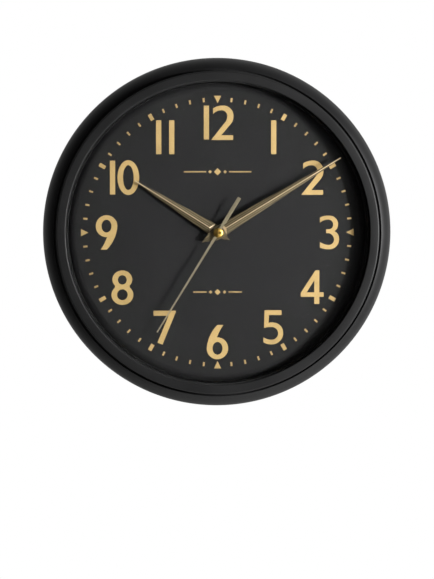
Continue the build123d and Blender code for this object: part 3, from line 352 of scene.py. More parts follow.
WALL_STEP, WALL_RELIEF, RELIEF_TOP, RELIEF_FOOT = 1.8, 0.8, 1.2, 2.0
wall_outer, wall_inner = radius_of("spacer_ring"), ring_inner - WALL_STEP
wall_foot, wall_front = back_of("spacer_ring"), front_of("spacer_ring")
inner_wall = lathe("inner_wall", rounded([
    (wall_inner, wall_foot, 0.1), (wall_outer, wall_foot), (wall_outer, wall_front),
    (wall_inner + WALL_RELIEF, wall_front, 0.15),
    (wall_inner + WALL_RELIEF, wall_front - RELIEF_TOP, 0.2),
    (wall_inner, wall_front - RELIEF_FOOT, 0.3)], 4), 256)
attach(inner_wall, "case")
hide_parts("spacer_ring")
print("inner wall from", wall_foot, "to", wall_front, "mm; ring inner radius", ring_inner)

# %% [markdown]
# ## Hands
#
# The hour and minute hands are pressed from thin sheet: a flat hub with a pointed tail, and a
# long blade folded along its middle, so that one half is lit and the other is dark. Each is built
# lying along its own X axis and then turned to its place, which also lets the brushed finish
# follow the blade. Only the top skin is drawn; Solidify gives it the sheet's thickness and Bevel
# softens the cut edges and the fold.

# %% Hand helpers


def hand_matrix(depth, clockwise):
    """Places local X along a hand, local Z towards the viewer, at a depth in mm."""
    a = radians(clockwise)
    along, out = Vector((sin(a), 0, cos(a))), Vector((0, -1, 0))
    across = out.cross(along)
    turn = Matrix((along, across, out)).transposed().to_4x4()
    return Matrix.Translation((0, -depth * MM, AXIS_Z)) @ turn


def flat_skin(bm, outline, hole, height, steps=32):
    """Fills an outline round a hole with triangles, at a height in mm."""
    loops = [[Vector((x, y, height)) * MM for x, y in outline]]
    loops.append([Vector((hole * cos(2 * pi * k / steps), hole * sin(2 * pi * k / steps), height)) * MM
                  for k in range(steps)])
    edges = []
    for loop in loops:
        verts = [bm.verts.new(p) for p in loop]
        edges += [bm.edges.new((verts[i], verts[(i + 1) % len(verts)])) for i in range(len(verts))]
    bmesh.ops.triangle_fill(bm, use_beauty=True, use_dissolve=False, edges=edges)


def sheet_object(name, bm, thickness, edge, limit=18):
    """Gives a skin its sheet thickness below and soft edges."""
    obj = finish_mesh(name, bm, 12)
    for face in obj.data.polygons:
        if face.normal.z < 0:
            obj.data.flip_normals()
            break
    solid = obj.modifiers.new("sheet", "SOLIDIFY")
    solid.thickness, solid.offset, solid.use_even_offset = thickness * MM, -1, True
    bevel = obj.modifiers.new("soft edges", "BEVEL")
    bevel.width, bevel.segments, bevel.limit_method = edge * MM, 2, "ANGLE"
    bevel.angle_limit = radians(limit)
    bevel.harden_normals = True
    return obj


HALF_WIDTH, BLADE_START, RIDGE_START, TIP_HALF = 4.45, 4.9, 7.2, 0.55
SHEET, TAIL_ANGLE = 0.35, 24.0


def folded_hand(name, length, tail, ridge, hole, depth, clockwise):
    bm = bmesh.new()
    neck = HALF_WIDTH / tan(radians(TAIL_ANGLE)) - tail
    flat_skin(bm, [(BLADE_START, -HALF_WIDTH), (BLADE_START, HALF_WIDTH), (neck, HALF_WIDTH), (-tail, 0),
                   (neck, -HALF_WIDTH)], hole, SHEET)
    tip_ridge = ridge * TIP_HALF / HALF_WIDTH
    heel = [bm.verts.new(Vector((BLADE_START, s * HALF_WIDTH, SHEET)) * MM) for s in (-1, 1)]
    crest = bm.verts.new(Vector((RIDGE_START, 0, SHEET + ridge)) * MM)
    tip = [bm.verts.new(Vector((length, s * TIP_HALF, SHEET)) * MM) for s in (-1, 1)]
    point = bm.verts.new(Vector((length, 0, SHEET + tip_ridge)) * MM)
    bm.faces.new((heel[0], tip[0], point, crest))
    bm.faces.new((crest, point, tip[1], heel[1]))
    bm.faces.new((heel[1], heel[0], crest))
    obj = sheet_object(name, bm, SHEET, 0.07)
    obj.matrix_world = hand_matrix(depth, clockwise)
    return obj


def lie_of(node):
    """Clockwise angle from 12 and length of a hand, from the middle of its tip in the CAD mesh."""
    points = [Vector((v.co.x, v.co.z - AXIS_Z)) for v in nodes[node].data.vertices]
    reach = max(point.length for point in points)
    turns = [atan2(point.x, point.y) for point in points if point.length > reach - 0.02 * MM]
    turn = (min(turns) + max(turns)) / 2
    return degrees(turn) % 360, max(p.dot(Vector((sin(turn), cos(turn)))) for p in points) / MM


print({n: [round(v, 2) for v in lie_of(n)] for n in ("hour_hand", "minute_hand", "seconds_hand")})

# %% [markdown]
# The hour hand's ridge stands a little higher than the minute hand's. Their angles are read from
# the CAD parts, so that the finished hands lie exactly where the CAD ones do.

# %% Hour and minute hands
for name, body, tail, ridge, hole in (("hour_blade", "hour_arbor", 10.4, 1.1, 2.52),
                                      ("minute_blade", "minute_arbor", 13.5, 1.0, 1.77)):
    node = name.replace("blade", "hand")
    clockwise, length = lie_of(node)
    blade = folded_hand(name, length, tail, ridge, hole, back_of(node), clockwise)
    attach(blade, body)
    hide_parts(node)
    print(name, "at depth", round(back_of(node), 2))

# %% [markdown]
# The seconds hand is cut from thinner sheet and stays flat: a fine stick, a neck beside the hub
# and a wider bar behind it that balances the stick. Its outline is drawn for one side and
# mirrored. A small turned cap, slightly domed, covers the socket that it is pressed on.

# %% Seconds hand
NECK, NECK_END, STICK, STICK_TIP = 1.9, 8.4, 1.6, 0.95
BAR, BAR_END, HUB, HUB_SIDE, SOCKET = 2.65, 30.0, 2.85, 2.7, 1.32
SECONDS_SHEET = 0.3
seconds_turn, seconds_length = lie_of("seconds_hand")
bm = bmesh.new()
stick = [(seconds_length, STICK_TIP / 2), (NECK_END + 0.6, STICK / 2), (NECK_END, NECK / 2),
         (HUB_SIDE, NECK / 2)]
hub = [(HUB * cos(radians(a)), HUB * sin(radians(a))) for a in range(20, 161, 10)]
counter = [(-HUB_SIDE, NECK / 2), (-NECK_END, NECK / 2), (-NECK_END, BAR / 2), (-BAR_END, BAR / 2)]
upper = stick + hub + counter
flat_skin(bm, upper + [(x, -y) for x, y in reversed(upper)], SOCKET, SECONDS_SHEET)
seconds_stick = sheet_object("seconds_stick", bm, SECONDS_SHEET, 0.06)
seconds_stick.matrix_world = hand_matrix(back_of("seconds_hand"), seconds_turn)
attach(seconds_stick, "seconds_arbor")
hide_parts("seconds_hand")

CAP_RISE, CAP, DOME_SHARE = 1.1, 3.45, 0.7
cap_back = back_of("seconds_hand_cap")
ball = (CAP**2 + (DOME_SHARE * CAP_RISE) ** 2) / (2 * DOME_SHARE * CAP_RISE)
half = degrees(asin(CAP / ball))
dome = arc((0, cap_back + CAP_RISE - ball), ball, 90 - half, 90, 14)
seconds_cap = lathe("seconds_cap", rounded([(0, cap_back), (CAP, cap_back, 0.1)] + dome), 64)
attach(seconds_cap, "seconds_arbor")
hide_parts("seconds_hand_cap")
print("seconds hand and cap done")

# %% [markdown]
# ## The back
#
# A cheap back is a flat plate, but a moulded one is stiffened. Beads and radial ribs are drawn as
# low bars with softened edges and stay behind the wall plane, inside the recess of the case. Two
# soft pads keep the foot of the clock off the wallpaper.

# %% Ribs, beads and pads
cover_back = back_of("rear_cover")
RELIEF, BEAD_WIDTH = 0.5, 1.4
BEADS = (62.0, 116.8)
RIB_START, RIB_END, RIB_COUNT = 64.0, 104.0, 12
PAD_RADIUS, PAD_THICK, PAD_AT = 5.0, 0.8, (60.0, -85.0)


def bar(bm, outline, back, front, taper=0.25):
    """Adds a low raised shape: an outline of (x, z) points in mm, its top pulled in by a draft."""
    middle = Vector((sum(p[0] for p in outline), sum(p[1] for p in outline))) / len(outline)
    loops = []
    for depth, pull in ((front, 0), (front - (front - back) * 0.7, 0.3), (back, 1)):
        loop = []
        for point in outline:
            inwards = (middle - Vector(point)).normalized() * taper * pull
            x, z = Vector(point) + inwards
            loop.append(bm.verts.new((x * MM, -depth * MM, AXIS_Z + z * MM)))
        loops.append(loop)
    for lower, upper in zip(loops, loops[1:]):
        for i in range(len(outline)):
            j = (i + 1) % len(outline)
            bm.faces.new((lower[i], lower[j], upper[j], upper[i]))
    bm.faces.new(loops[0])
    bm.faces.new(list(reversed(loops[-1])))


bm = bmesh.new()
for radius in BEADS:
    half = BEAD_WIDTH / 2
    spin(bm, rounded([(radius - half, cover_back), (radius + half, cover_back),
                      (radius + half * 0.7, cover_back - RELIEF, 0.25),
                      (radius - half * 0.7, cover_back - RELIEF, 0.25)], 3), 192)
for i in range(RIB_COUNT):
    a = 2 * pi * (i + 0.5) / RIB_COUNT
    along, across = Vector((cos(a), sin(a))), Vector((-sin(a), cos(a))) * 0.6
    bar(bm, [along * RIB_START - across, along * RIB_END - across, along * RIB_END + across,
             along * RIB_START + across], cover_back - RELIEF, cover_back)
cover_ribs = finish_mesh("cover_ribs", bm, 40)
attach(cover_ribs, "case")

bm = bmesh.new()
for side in (-1, 1):
    spin(bm, rounded([(0, cover_back), (PAD_RADIUS, cover_back), (PAD_RADIUS, cover_back - PAD_THICK, 0.35),
                      (0, cover_back - PAD_THICK)], 4), 40, side * PAD_AT[0], PAD_AT[1])
wall_pads = finish_mesh("wall_pads", bm, 40)
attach(wall_pads, "case")
print("cover back at", cover_back, "mm; ribs", RIB_COUNT)

# %% [markdown]
# The movement's back carries three moulded signs that anyone can read: a plus and a minus beside
# the cell, and a bent arrow round the setting knob that shows which way to turn it.

# %% Signs on the movement
movement_back = back_of("movement_rear_shell")
SIGN_RELIEF = 0.35
knob_low, knob_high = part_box("setting_knob")
knob_x = (knob_low.x + knob_high.x) / 2 / MM
knob_z = ((knob_low.z + knob_high.z) / 2 - AXIS_Z) / MM
bm = bmesh.new()
SIGN_X, SIGN_Z, SIGN_LENGTH, SIGN_STROKE = 22.5, -9.4, 3.2, 0.8
for x, z, wide, tall in ((SIGN_X, SIGN_Z, SIGN_LENGTH, SIGN_STROKE),
                         (SIGN_X, SIGN_Z, SIGN_STROKE, SIGN_LENGTH),
                         (-SIGN_X, SIGN_Z, SIGN_LENGTH, SIGN_STROKE)):
    bar(bm, [(x - wide / 2, z - tall / 2), (x + wide / 2, z - tall / 2), (x + wide / 2, z + tall / 2),
             (x - wide / 2, z + tall / 2)], movement_back - SIGN_RELIEF, movement_back, 0.1)
ARROW_RADIUS, ARROW_HALF, ARROW_FIRST, ARROW_LAST = 8.6, 0.4, -60.0, 40.0
steps = 12
for k in range(steps):
    first, last = (radians(ARROW_FIRST + (ARROW_LAST - ARROW_FIRST) * n / steps) for n in (k, k + 1))
    bar(bm, [(knob_x + r * cos(a), knob_z + r * sin(a)) for r, a in (
        (ARROW_RADIUS - ARROW_HALF, first), (ARROW_RADIUS + ARROW_HALF, first),
        (ARROW_RADIUS + ARROW_HALF, last), (ARROW_RADIUS - ARROW_HALF, last))],
        movement_back - SIGN_RELIEF, movement_back, 0.0)
tip_a, head_a = radians(ARROW_LAST + 16), radians(ARROW_LAST)
bar(bm, [(knob_x + r * cos(a), knob_z + r * sin(a)) for r, a in (
    (ARROW_RADIUS - 1.3, head_a), (ARROW_RADIUS + 1.3, head_a), (ARROW_RADIUS, tip_a))],
    movement_back - SIGN_RELIEF, movement_back, 0.05)
movement_signs = finish_mesh("movement_signs", bm, 30)
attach(movement_signs, "case")
print("knob at", round(knob_x, 2), round(knob_z, 2))

# %% [markdown]
# ## Finishes
#
# Effects that several materials share are node groups, built once. A group gives out values that
# change over the surface, and each material feeds them into its own Principled shader. All
# patterns follow the piece's own coordinates, so they stay put when a hand or a wheel turns.

# %% Group helper


def make_group(name, takes, gives):
    """A shader node group. takes lists (socket, default); gives lists the outputs' names."""
    tree = bpy.data.node_groups.new(name, "ShaderNodeTree")
    for label, default in takes:
        kind = "NodeSocketVector" if isinstance(default, tuple) else "NodeSocketFloat"
        socket = tree.interface.new_socket(label, in_out="INPUT", socket_type=kind)
        socket.default_value = default
    for label in gives:
        tree.interface.new_socket(label, in_out="OUTPUT", socket_type="NodeSocketFloat")
    return tree, put(tree, "NodeGroupInput"), put(tree, "NodeGroupOutput")


def use_group(tree, group, **inputs):
    """Places a group in a material; inputs are given by name, with _ for a space."""
    node = tree.nodes.new("ShaderNodeGroup")
    node.node_tree = group
    for name, value in inputs.items():
        node.inputs[name.replace("_", " ")].default_value = value
    return node


def maths(tree, operation, first, second=0.0, clamp=False):
    return put(tree, "Math", {0: first, 1: second}, operation=operation, use_clamp=clamp).outputs[0]


def spread(tree, value, low, high, start=0.0, end=1.0):
    """Maps a value from start..end to low..high."""
    return put(tree, "MapRange", {"Value": value, "From Min": start, "From Max": end, "To Min": low,
                                  "To Max": high}).outputs[0]


print("helpers ready")

# %% [markdown]
# **Mould grain.** A steel mould is spark eroded, and the plastic copies its fine pits: a cell
# pattern broken up by noise. The second output is a slow drift, the faint cloudiness of a large
# moulding where the melt cooled unevenly.

# %% Mould grain group
grain_tree, gin, gout = make_group("mould_grain", [("Grain mm", 0.4), ("Drift mm", 40.0)],
                                   ("Height", "Drift"))
where = put(grain_tree, "TexCoord").outputs["Object"]
fine = maths(grain_tree, "DIVIDE", 1000.0, gin.outputs["Grain mm"])
slow = maths(grain_tree, "DIVIDE", 1000.0, gin.outputs["Drift mm"])
pits = put(grain_tree, "TexVoronoi", {"Vector": where, "Scale": fine, "Randomness": 1.0})
specks = put(grain_tree, "TexNoise", {"Vector": where, "Scale": fine, "Detail": 3.0, "Roughness": 0.6})
height = maths(grain_tree, "MULTIPLY", pits.outputs["Distance"], specks.outputs["Fac"])
grain_tree.links.new(height, gout.inputs["Height"])
cloud = put(grain_tree, "TexNoise", {"Vector": where, "Scale": slow, "Detail": 4.0, "Roughness": 0.55})
grain_tree.links.new(spread(grain_tree, cloud.outputs["Fac"], 0.0, 1.0, 0.3, 0.7), gout.inputs["Drift"])
print("mould_grain", len(grain_tree.nodes), "nodes")

# %% [markdown]
# **Edge rub.** Edges get handled, so they turn a little lighter and shinier. The Bevel node gives
# the normal that a rounded edge would have; where it differs from the true normal there is an
# edge. Noise breaks the line, because real wear comes and goes.

# %% Edge rub group
rub_tree, gin, gout = make_group("edge_rub", [("Reach mm", 0.6), ("Patches mm", 6.0)], ("Rub",))
reach = maths(rub_tree, "MULTIPLY", gin.outputs["Reach mm"], MM)
soft = put(rub_tree, "Bevel", {"Radius": reach}, samples=4)
true_normal = put(rub_tree, "NewGeometry").outputs["Normal"]
agree = put(rub_tree, "VectorMath", {0: soft.outputs[0], 1: true_normal}, operation="DOT_PRODUCT")
edge = spread(rub_tree, agree.outputs["Value"], 1.0, 0.0, 0.75, 0.985)
patch_scale = maths(rub_tree, "DIVIDE", 1000.0, gin.outputs["Patches mm"])
where = put(rub_tree, "TexCoord").outputs["Object"]
patches = put(rub_tree, "TexNoise", {"Vector": where, "Scale": patch_scale, "Detail": 3.0})
broken = spread(rub_tree, patches.outputs["Fac"], 0.15, 1.0, 0.35, 0.65)
rub_tree.links.new(maths(rub_tree, "MULTIPLY", edge, broken, True), gout.inputs["Rub"])
print("edge_rub", len(rub_tree.nodes), "nodes")

# %% [markdown]
# **Brush lines.** Sheet metal is brushed along the blade, which leaves fine long scratches. Noise
# is stretched along one direction by scaling the coordinates before they reach the texture.

# %% Brush line group
brush_tree, gin, gout = make_group("brush_lines", [("Stretch", (0.04, 1.0, 1.0)), ("Line mm", 0.12)],
                                   ("Height", "Streak"))
where = put(brush_tree, "TexCoord").outputs["Object"]
pulled = put(brush_tree, "VectorMath", {0: where, 1: gin.outputs["Stretch"]}, operation="MULTIPLY")
line_scale = maths(brush_tree, "DIVIDE", 1000.0, gin.outputs["Line mm"])
lines = put(brush_tree, "TexNoise", {"Vector": pulled.outputs[0], "Scale": line_scale, "Detail": 2.0})
wide_scale = maths(brush_tree, "MULTIPLY", line_scale, 0.13)
bands = put(brush_tree, "TexNoise", {"Vector": pulled.outputs[0], "Scale": wide_scale, "Detail": 3.0})
both = maths(brush_tree, "ADD", maths(brush_tree, "MULTIPLY", lines.outputs["Fac"], 0.6),
             maths(brush_tree, "MULTIPLY", bands.outputs["Fac"], 0.4))
brush_tree.links.new(lines.outputs["Fac"], gout.inputs["Height"])
brush_tree.links.new(spread(brush_tree, both, 0.0, 1.0, 0.33, 0.67), gout.inputs["Streak"])
print("brush_lines", len(brush_tree.nodes), "nodes")

# %% [markdown]
# **Turning lines.** A part finished on a lathe has rings about its own centre. The distance from
# that centre, in the plane of the dial, drives a one-dimensional noise.

# %% Turning line group
ring_tree, gin, gout = make_group("turning_lines", [("Centre", (0.0, 0.0, 0.0)), ("Line mm", 0.1)],
                                  ("Height", "Streak"))
where = put(ring_tree, "TexCoord").outputs["Object"]
offset = put(ring_tree, "VectorMath", {0: where, 1: gin.outputs["Centre"]}, operation="SUBTRACT")
flat = put(ring_tree, "VectorMath", {0: offset.outputs[0], 1: (1.0, 0.0, 1.0)}, operation="MULTIPLY")
spoke = put(ring_tree, "VectorMath", {0: flat.outputs[0]}, operation="LENGTH")
count = maths(ring_tree, "DIVIDE", 1000.0, gin.outputs["Line mm"])
rings = put(ring_tree, "TexNoise", {"W": spoke.outputs["Value"], "Scale": count, "Detail": 2.0},
            noise_dimensions="1D")
ring_tree.links.new(rings.outputs["Fac"], gout.inputs["Height"])
ring_tree.links.new(spread(ring_tree, rings.outputs["Fac"], 0.0, 1.0, 0.3, 0.7), gout.inputs["Streak"])
print("turning_lines", len(ring_tree.nodes), "nodes")

# %% [markdown]
# **Settled dust.** Dust lies on what faces up. The world normal's height is squared, so that only
# nearly level surfaces collect it, and noise makes it patchy.

# %% Dust group
dust_tree, gin, gout = make_group("settled_dust", [("Amount", 0.1)], ("Dust",))
facing = put(dust_tree, "SeparateXYZ", {0: put(dust_tree, "NewGeometry").outputs["Normal"]})
level = maths(dust_tree, "POWER", maths(dust_tree, "MAXIMUM", facing.outputs["Z"], 0.0), 2.0)
where = put(dust_tree, "TexCoord").outputs["Object"]
fluff = put(dust_tree, "TexNoise", {"Vector": where, "Scale": 900.0, "Detail": 5.0, "Roughness": 0.7})
patchy = spread(dust_tree, fluff.outputs["Fac"], 0.0, 1.0, 0.42, 0.68)
lying = maths(dust_tree, "MULTIPLY", maths(dust_tree, "MULTIPLY", level, patchy), gin.outputs["Amount"], True)
dust_tree.links.new(lying, gout.inputs["Dust"])
print("settled_dust", len(dust_tree.nodes), "nodes")

# %% [markdown]
# Two recipes cover most of the clock. `moulded` is for plastics, rubber and paint: a base colour
# that drifts, mould grain as bump, rubbed edges and a little dust. `worked` is for metals: the
# lines of brushing or turning, colour that shifts with them, and a slow tarnish.

# %% Plastic recipe
finishes = {}


def blend(tree, share, first, second):
    """Mixes two colours; each may be a plain colour or a socket."""
    node = put(tree, "Mix", data_type="RGBA")
    for socket, value in ((node.inputs[0], share), (node.inputs[6], first), (node.inputs[7], second)):
        if isinstance(value, bpy.types.NodeSocket):
            tree.links.new(value, socket)
        else:
            socket.default_value = value if isinstance(value, float) else (*value, 1)
    return node.outputs[2]


def new_material(name, metallic=0.0, specular=0.5):
    material = bpy.data.materials.new(name)
    material.use_nodes = True
    shader = material.node_tree.nodes["Principled BSDF"]
    shader.inputs["Metallic"].default_value = metallic
    shader.inputs["Specular IOR Level"].default_value = specular
    finishes[name] = material
    return material.node_tree, shader


def bumped(tree, shader, height, depth_mm, strength=1.0):
    bump = put(tree, "Bump", {"Height": height, "Distance": depth_mm * MM, "Strength": strength})
    tree.links.new(bump.outputs[0], shader.inputs["Normal"])


def moulded(name, dark, light, rough, grain_mm=0.5, depth_mm=0.02, rub=0.3, rub_mm=0.5, dust=0.1,
            drift_mm=40.0, specular=0.5):
    tree, shader = new_material(name, specular=specular)
    grain = use_group(tree, grain_tree, Grain_mm=grain_mm, Drift_mm=drift_mm)
    wear = use_group(tree, rub_tree, Reach_mm=rub_mm)
    fluff = use_group(tree, dust_tree, Amount=dust)
    speck = spread(tree, grain.outputs["Height"], 0.0, 0.35, 0.1, 0.6)
    base = blend(tree, maths(tree, "ADD", maths(tree, "MULTIPLY", grain.outputs["Drift"], 0.65), speck),
                 dark, light)
    rubbed = tuple(min(1.0, c * 1.6 + 0.02) for c in light)
    worn = blend(tree, maths(tree, "MULTIPLY", wear.outputs["Rub"], rub), base, rubbed)
    dusty = blend(tree, fluff.outputs["Dust"], worn, (0.35, 0.34, 0.32))
    tree.links.new(dusty, shader.inputs["Base Color"])
    drifted = spread(tree, grain.outputs["Drift"], rough - 0.04, rough + 0.05)
    polished = maths(tree, "SUBTRACT", drifted, maths(tree, "MULTIPLY", wear.outputs["Rub"], 0.4 * rub))
    tree.links.new(maths(tree, "ADD", polished, fluff.outputs["Dust"], True), shader.inputs["Roughness"])
    bumped(tree, shader, grain.outputs["Height"], depth_mm)
    return tree, shader


# %% [markdown]
# The case and the front ring are the same black moulding compound. The case comes from a mould
# with a fine grain, so it is satin; the ring is a shade smoother. The inner wall is dead matt, so
# that it never mirrors the dial, and its black is made darker than the other plastics as painted
# shade of the deep recess. The plate, cover and movement are plain working parts with a coarser
# grain.

# %% Black plastics
moulded("satin_case", (0.0075, 0.0075, 0.008), (0.0115, 0.0115, 0.012), 0.42, 0.45, 0.010, rub=0.25,
        dust=0.02)
moulded("satin_ring", (0.010, 0.010, 0.0103), (0.015, 0.015, 0.0154), 0.46, 0.4, 0.008, rub=0.3, dust=0.02,
        specular=0.42)
# Black plastic made darker still: painted shade in the recess behind the ring.
moulded("wall_black_and_shade", (0.003, 0.003, 0.003), (0.005, 0.005, 0.005), 0.72, 0.4, 0.02, rub=0.0, dust=0.0,
        specular=0.1)
moulded("dial_plate_black", (0.012, 0.012, 0.012), (0.022, 0.022, 0.023), 0.55, 0.7, 0.03)
moulded("cover_black", (0.020, 0.020, 0.021), (0.038, 0.038, 0.039), 0.50, 0.8, 0.04, rub=0.5, dust=0.25)
moulded("movement_black", (0.010, 0.010, 0.011), (0.02, 0.02, 0.021), 0.46, 0.35, 0.02, rub=0.5, dust=0.2)
moulded("seal_rubber", (0.012, 0.012, 0.012), (0.03, 0.03, 0.031), 0.78, 0.25, 0.03, rub=0.1, dust=0.35)
moulded("wheel_white", (0.66, 0.65, 0.6), (0.78, 0.77, 0.73), 0.36, 0.6, 0.006, rub=0.2, drift_mm=4.0)
moulded("wheel_black", (0.02, 0.02, 0.021), (0.035, 0.035, 0.036), 0.38, 0.5, 0.006, rub=0.4, drift_mm=4.0)
moulded("floor_paint", (0.78, 0.78, 0.77), (0.84, 0.84, 0.83), 0.7, 3.0, 0.05, rub=0.0, dust=0.0,
        drift_mm=300.0)
floor.data.materials.append(finishes["floor_paint"])
print(len(finishes), "plastics")

# %% [markdown]
# The dial is a lacquered metal sheet, pressed with a rolled rim: a matt charcoal coat with tiny
# specks in it. The figures are a second pass in gold ink. Gold ink is metal flake in varnish, so it
# is only partly metallic and glitters in points, and it lies thinner in places.

# %% Dial print
moulded("dial_charcoal", (0.0125, 0.0125, 0.0128), (0.0170, 0.0170, 0.0174), 0.72, 0.3, 0.012, rub=0.0,
        dust=0.0, drift_mm=60.0, specular=0.2)

tree, shader = new_material("gold_ink", metallic=0.25, specular=0.4)
flake = put(tree, "TexVoronoi", {"Vector": put(tree, "TexCoord").outputs["Object"], "Scale": 4200.0})
tone = put(tree, "SeparateColor", {0: flake.outputs["Color"]}).outputs[0]
ink = use_group(tree, grain_tree, Grain_mm=0.25, Drift_mm=9.0)
thick = blend(tree, ink.outputs["Drift"], (0.50, 0.336, 0.120), (0.59, 0.405, 0.155))
tree.links.new(blend(tree, maths(tree, "MULTIPLY", tone, 0.33), thick, (0.80, 0.59, 0.29)),
               shader.inputs["Base Color"])
tree.links.new(spread(tree, tone, 0.42, 0.62), shader.inputs["Roughness"])
bumped(tree, shader, ink.outputs["Height"], 0.01)
print("dial and ink done")

# %% [markdown]
# The metal recipe serves both brushed sheet and turned brass. On a turned face the light smears
# across the rings into a bow tie, so there the shader is made anisotropic about the arbor.

# %% Metal recipe


def worked(name, deep, bright, rough, line_mm=0.12, depth_mm=0.004, stretch=(0.04, 1.0, 1.0), centre=None,
           tarnish=(0.3, 0.22, 0.12), tarnish_share=0.15, rub=0.4, rub_mm=0.2, spotting_mm=6.0):
    """A brushed metal, or a turned one when a centre is given."""
    tree, shader = new_material(name, metallic=1.0)
    if centre is None:
        lines = use_group(tree, brush_tree, Stretch=stretch, Line_mm=line_mm)
    else:
        lines = use_group(tree, ring_tree, Centre=centre, Line_mm=line_mm)
        shader.inputs["Anisotropic"].default_value = 0.8
        about = put(tree, "Tangent", direction_type="RADIAL", axis="Y")
        tree.links.new(about.outputs[0], shader.inputs["Tangent"])
    wear = use_group(tree, rub_tree, Reach_mm=rub_mm, Patches_mm=2.0)
    cloud = use_group(tree, grain_tree, Grain_mm=0.3, Drift_mm=spotting_mm)
    base = blend(tree, lines.outputs["Streak"], deep, bright)
    dull = blend(tree, maths(tree, "MULTIPLY", cloud.outputs["Drift"], tarnish_share), base, tarnish)
    shine = tuple(min(1.0, c * 1.15) for c in bright)
    tree.links.new(blend(tree, maths(tree, "MULTIPLY", wear.outputs["Rub"], rub), dull, shine),
                   shader.inputs["Base Color"])
    streaked = spread(tree, lines.outputs["Streak"], rough - 0.06, rough + 0.08)
    tree.links.new(maths(tree, "ADD", streaked, maths(tree, "MULTIPLY", cloud.outputs["Drift"], 0.08)),
                   shader.inputs["Roughness"])
    bumped(tree, shader, lines.outputs["Height"], depth_mm)
    return tree, shader


# %% [markdown]
# The blades are not only brushed: the press cuts fine flutes along them, parallel to the fold.
# The fold itself and the small facet at the blade's heel get a painted highlight, a pale gold laid
# into the colour where the light would glint. A wave across the blade gives the flutes as bump,
# and it also paints each flute lighter and darker across its width: painted light and shade. The
# distance from the blade's own centre line finds the fold. The metal is plated and lacquered, so it
# is only partly mirror-like.

# %% Fluted gold recipe


def fluted(name, deep, bright, highlight_and_rub_colour, flute_mm, rough, metallic, fold_highlight_mm, fold_highlight_share):
    tree, shader = new_material(name, metallic=metallic)
    place = put(tree, "TexCoord").outputs["Object"]
    part = put(tree, "SeparateXYZ", {0: place})
    across = maths(tree, "ABSOLUTE", part.outputs["Y"])
    turns = maths(tree, "MULTIPLY", across, 2 * pi * 1000 / flute_mm)
    wave = spread(tree, maths(tree, "COSINE", turns), 0.0, 1.0, -0.6, 1.0)
    lines = use_group(tree, brush_tree, Stretch=(0.04, 1.0, 1.0), Line_mm=0.16)
    wear = use_group(tree, rub_tree, Reach_mm=0.15, Patches_mm=3.0)
    # The flute wave sets lighter and darker bands in the colour: painted light and shade on the flutes.
    tone = maths(tree, "ADD", maths(tree, "MULTIPLY", wave, 0.6),
                 maths(tree, "MULTIPLY", lines.outputs["Streak"], 0.4))
    base = blend(tree, tone, deep, bright)
    # Painted highlight: a band along the fold and the heel facet are laid in pale gold.
    fold_highlight_band = spread(tree, across, fold_highlight_share, 0.0, 0.5 * fold_highlight_mm * MM, fold_highlight_mm * MM)
    on_blade = spread(tree, part.outputs["X"], 0.0, 1.0, BLADE_START * MM, RIDGE_START * MM)
    fold_highlight = maths(tree, "MULTIPLY", fold_highlight_band, on_blade)
    slant = maths(tree, "MULTIPLY", across, (RIDGE_START - BLADE_START) / HALF_WIDTH)
    before_crest = maths(tree, "LESS_THAN", maths(tree, "ADD", slant, part.outputs["X"]), RIDGE_START * MM)
    after_hub = maths(tree, "GREATER_THAN", part.outputs["X"], BLADE_START * MM)
    heel = maths(tree, "MULTIPLY", before_crest, after_hub)
    painted_highlights = blend(tree, maths(tree, "MAXIMUM", fold_highlight, heel), base, highlight_and_rub_colour)
    # Rubbed edges take the same pale gold as the painted highlight.
    tree.links.new(blend(tree, maths(tree, "MULTIPLY", wear.outputs["Rub"], 0.35), painted_highlights, highlight_and_rub_colour),
                   shader.inputs["Base Color"])
    tree.links.new(spread(tree, tone, rough + 0.05, rough - 0.06), shader.inputs["Roughness"])
    relief = maths(tree, "ADD", maths(tree, "MULTIPLY", wave, 1.0),
                   maths(tree, "MULTIPLY", lines.outputs["Height"], 0.15))
    bumped(tree, shader, relief, 0.02)


# %% [markdown]
# Each metal part now gets its own values. The brass parts are turned about the arbor, so they
# take the axis as their centre; steel, iron and nickel are brushed or stamped.

# %% Metals
AXIS = (0.0, 0.0, AXIS_Z)
# The third colour is the pale gold of the painted highlight on fold and heel, also used on rubbed edges.
fluted("hand_gold", (0.03, 0.023, 0.012), (0.34, 0.268, 0.148), (1.0, 0.78, 0.50), 1.48, 0.38,
       0.55, 0.34, 1.0)
worked("seconds_gold", (0.36, 0.31, 0.20), (0.57, 0.50, 0.34), 0.40, 0.14, 0.004)
worked("cap_brass", (0.60, 0.34, 0.055), (0.84, 0.55, 0.13), 0.22, 0.10, 0.003, centre=AXIS)
worked("collet_brass", (0.62, 0.45, 0.20), (0.80, 0.62, 0.32), 0.32, 0.08, 0.003, centre=AXIS)
worked("zinc_steel", (0.46, 0.47, 0.49), (0.66, 0.67, 0.69), 0.34, 0.25, 0.006, (1.0, 1.0, 0.1),
       tarnish=(0.36, 0.34, 0.28))
worked("stator_iron", (0.30, 0.30, 0.31), (0.46, 0.46, 0.47), 0.42, 0.2, 0.006, (0.08, 1.0, 1.0),
       tarnish=(0.2, 0.14, 0.1))
worked("crystal_can", (0.62, 0.62, 0.60), (0.80, 0.80, 0.78), 0.22, 0.15, 0.002, tarnish=(0.4, 0.38, 0.34))
worked("magnet_nickel", (0.42, 0.41, 0.39), (0.60, 0.59, 0.56), 0.28, 0.1, 0.003, (1.0, 0.1, 1.0),
       tarnish=(0.2, 0.19, 0.18), tarnish_share=0.4)
worked("screw_black", (0.03, 0.03, 0.032), (0.075, 0.075, 0.078), 0.40, 0.15, 0.004, (1.0, 1.0, 1.0),
       tarnish=(0.05, 0.045, 0.04), rub=0.6)
print(len(finishes), "finishes")
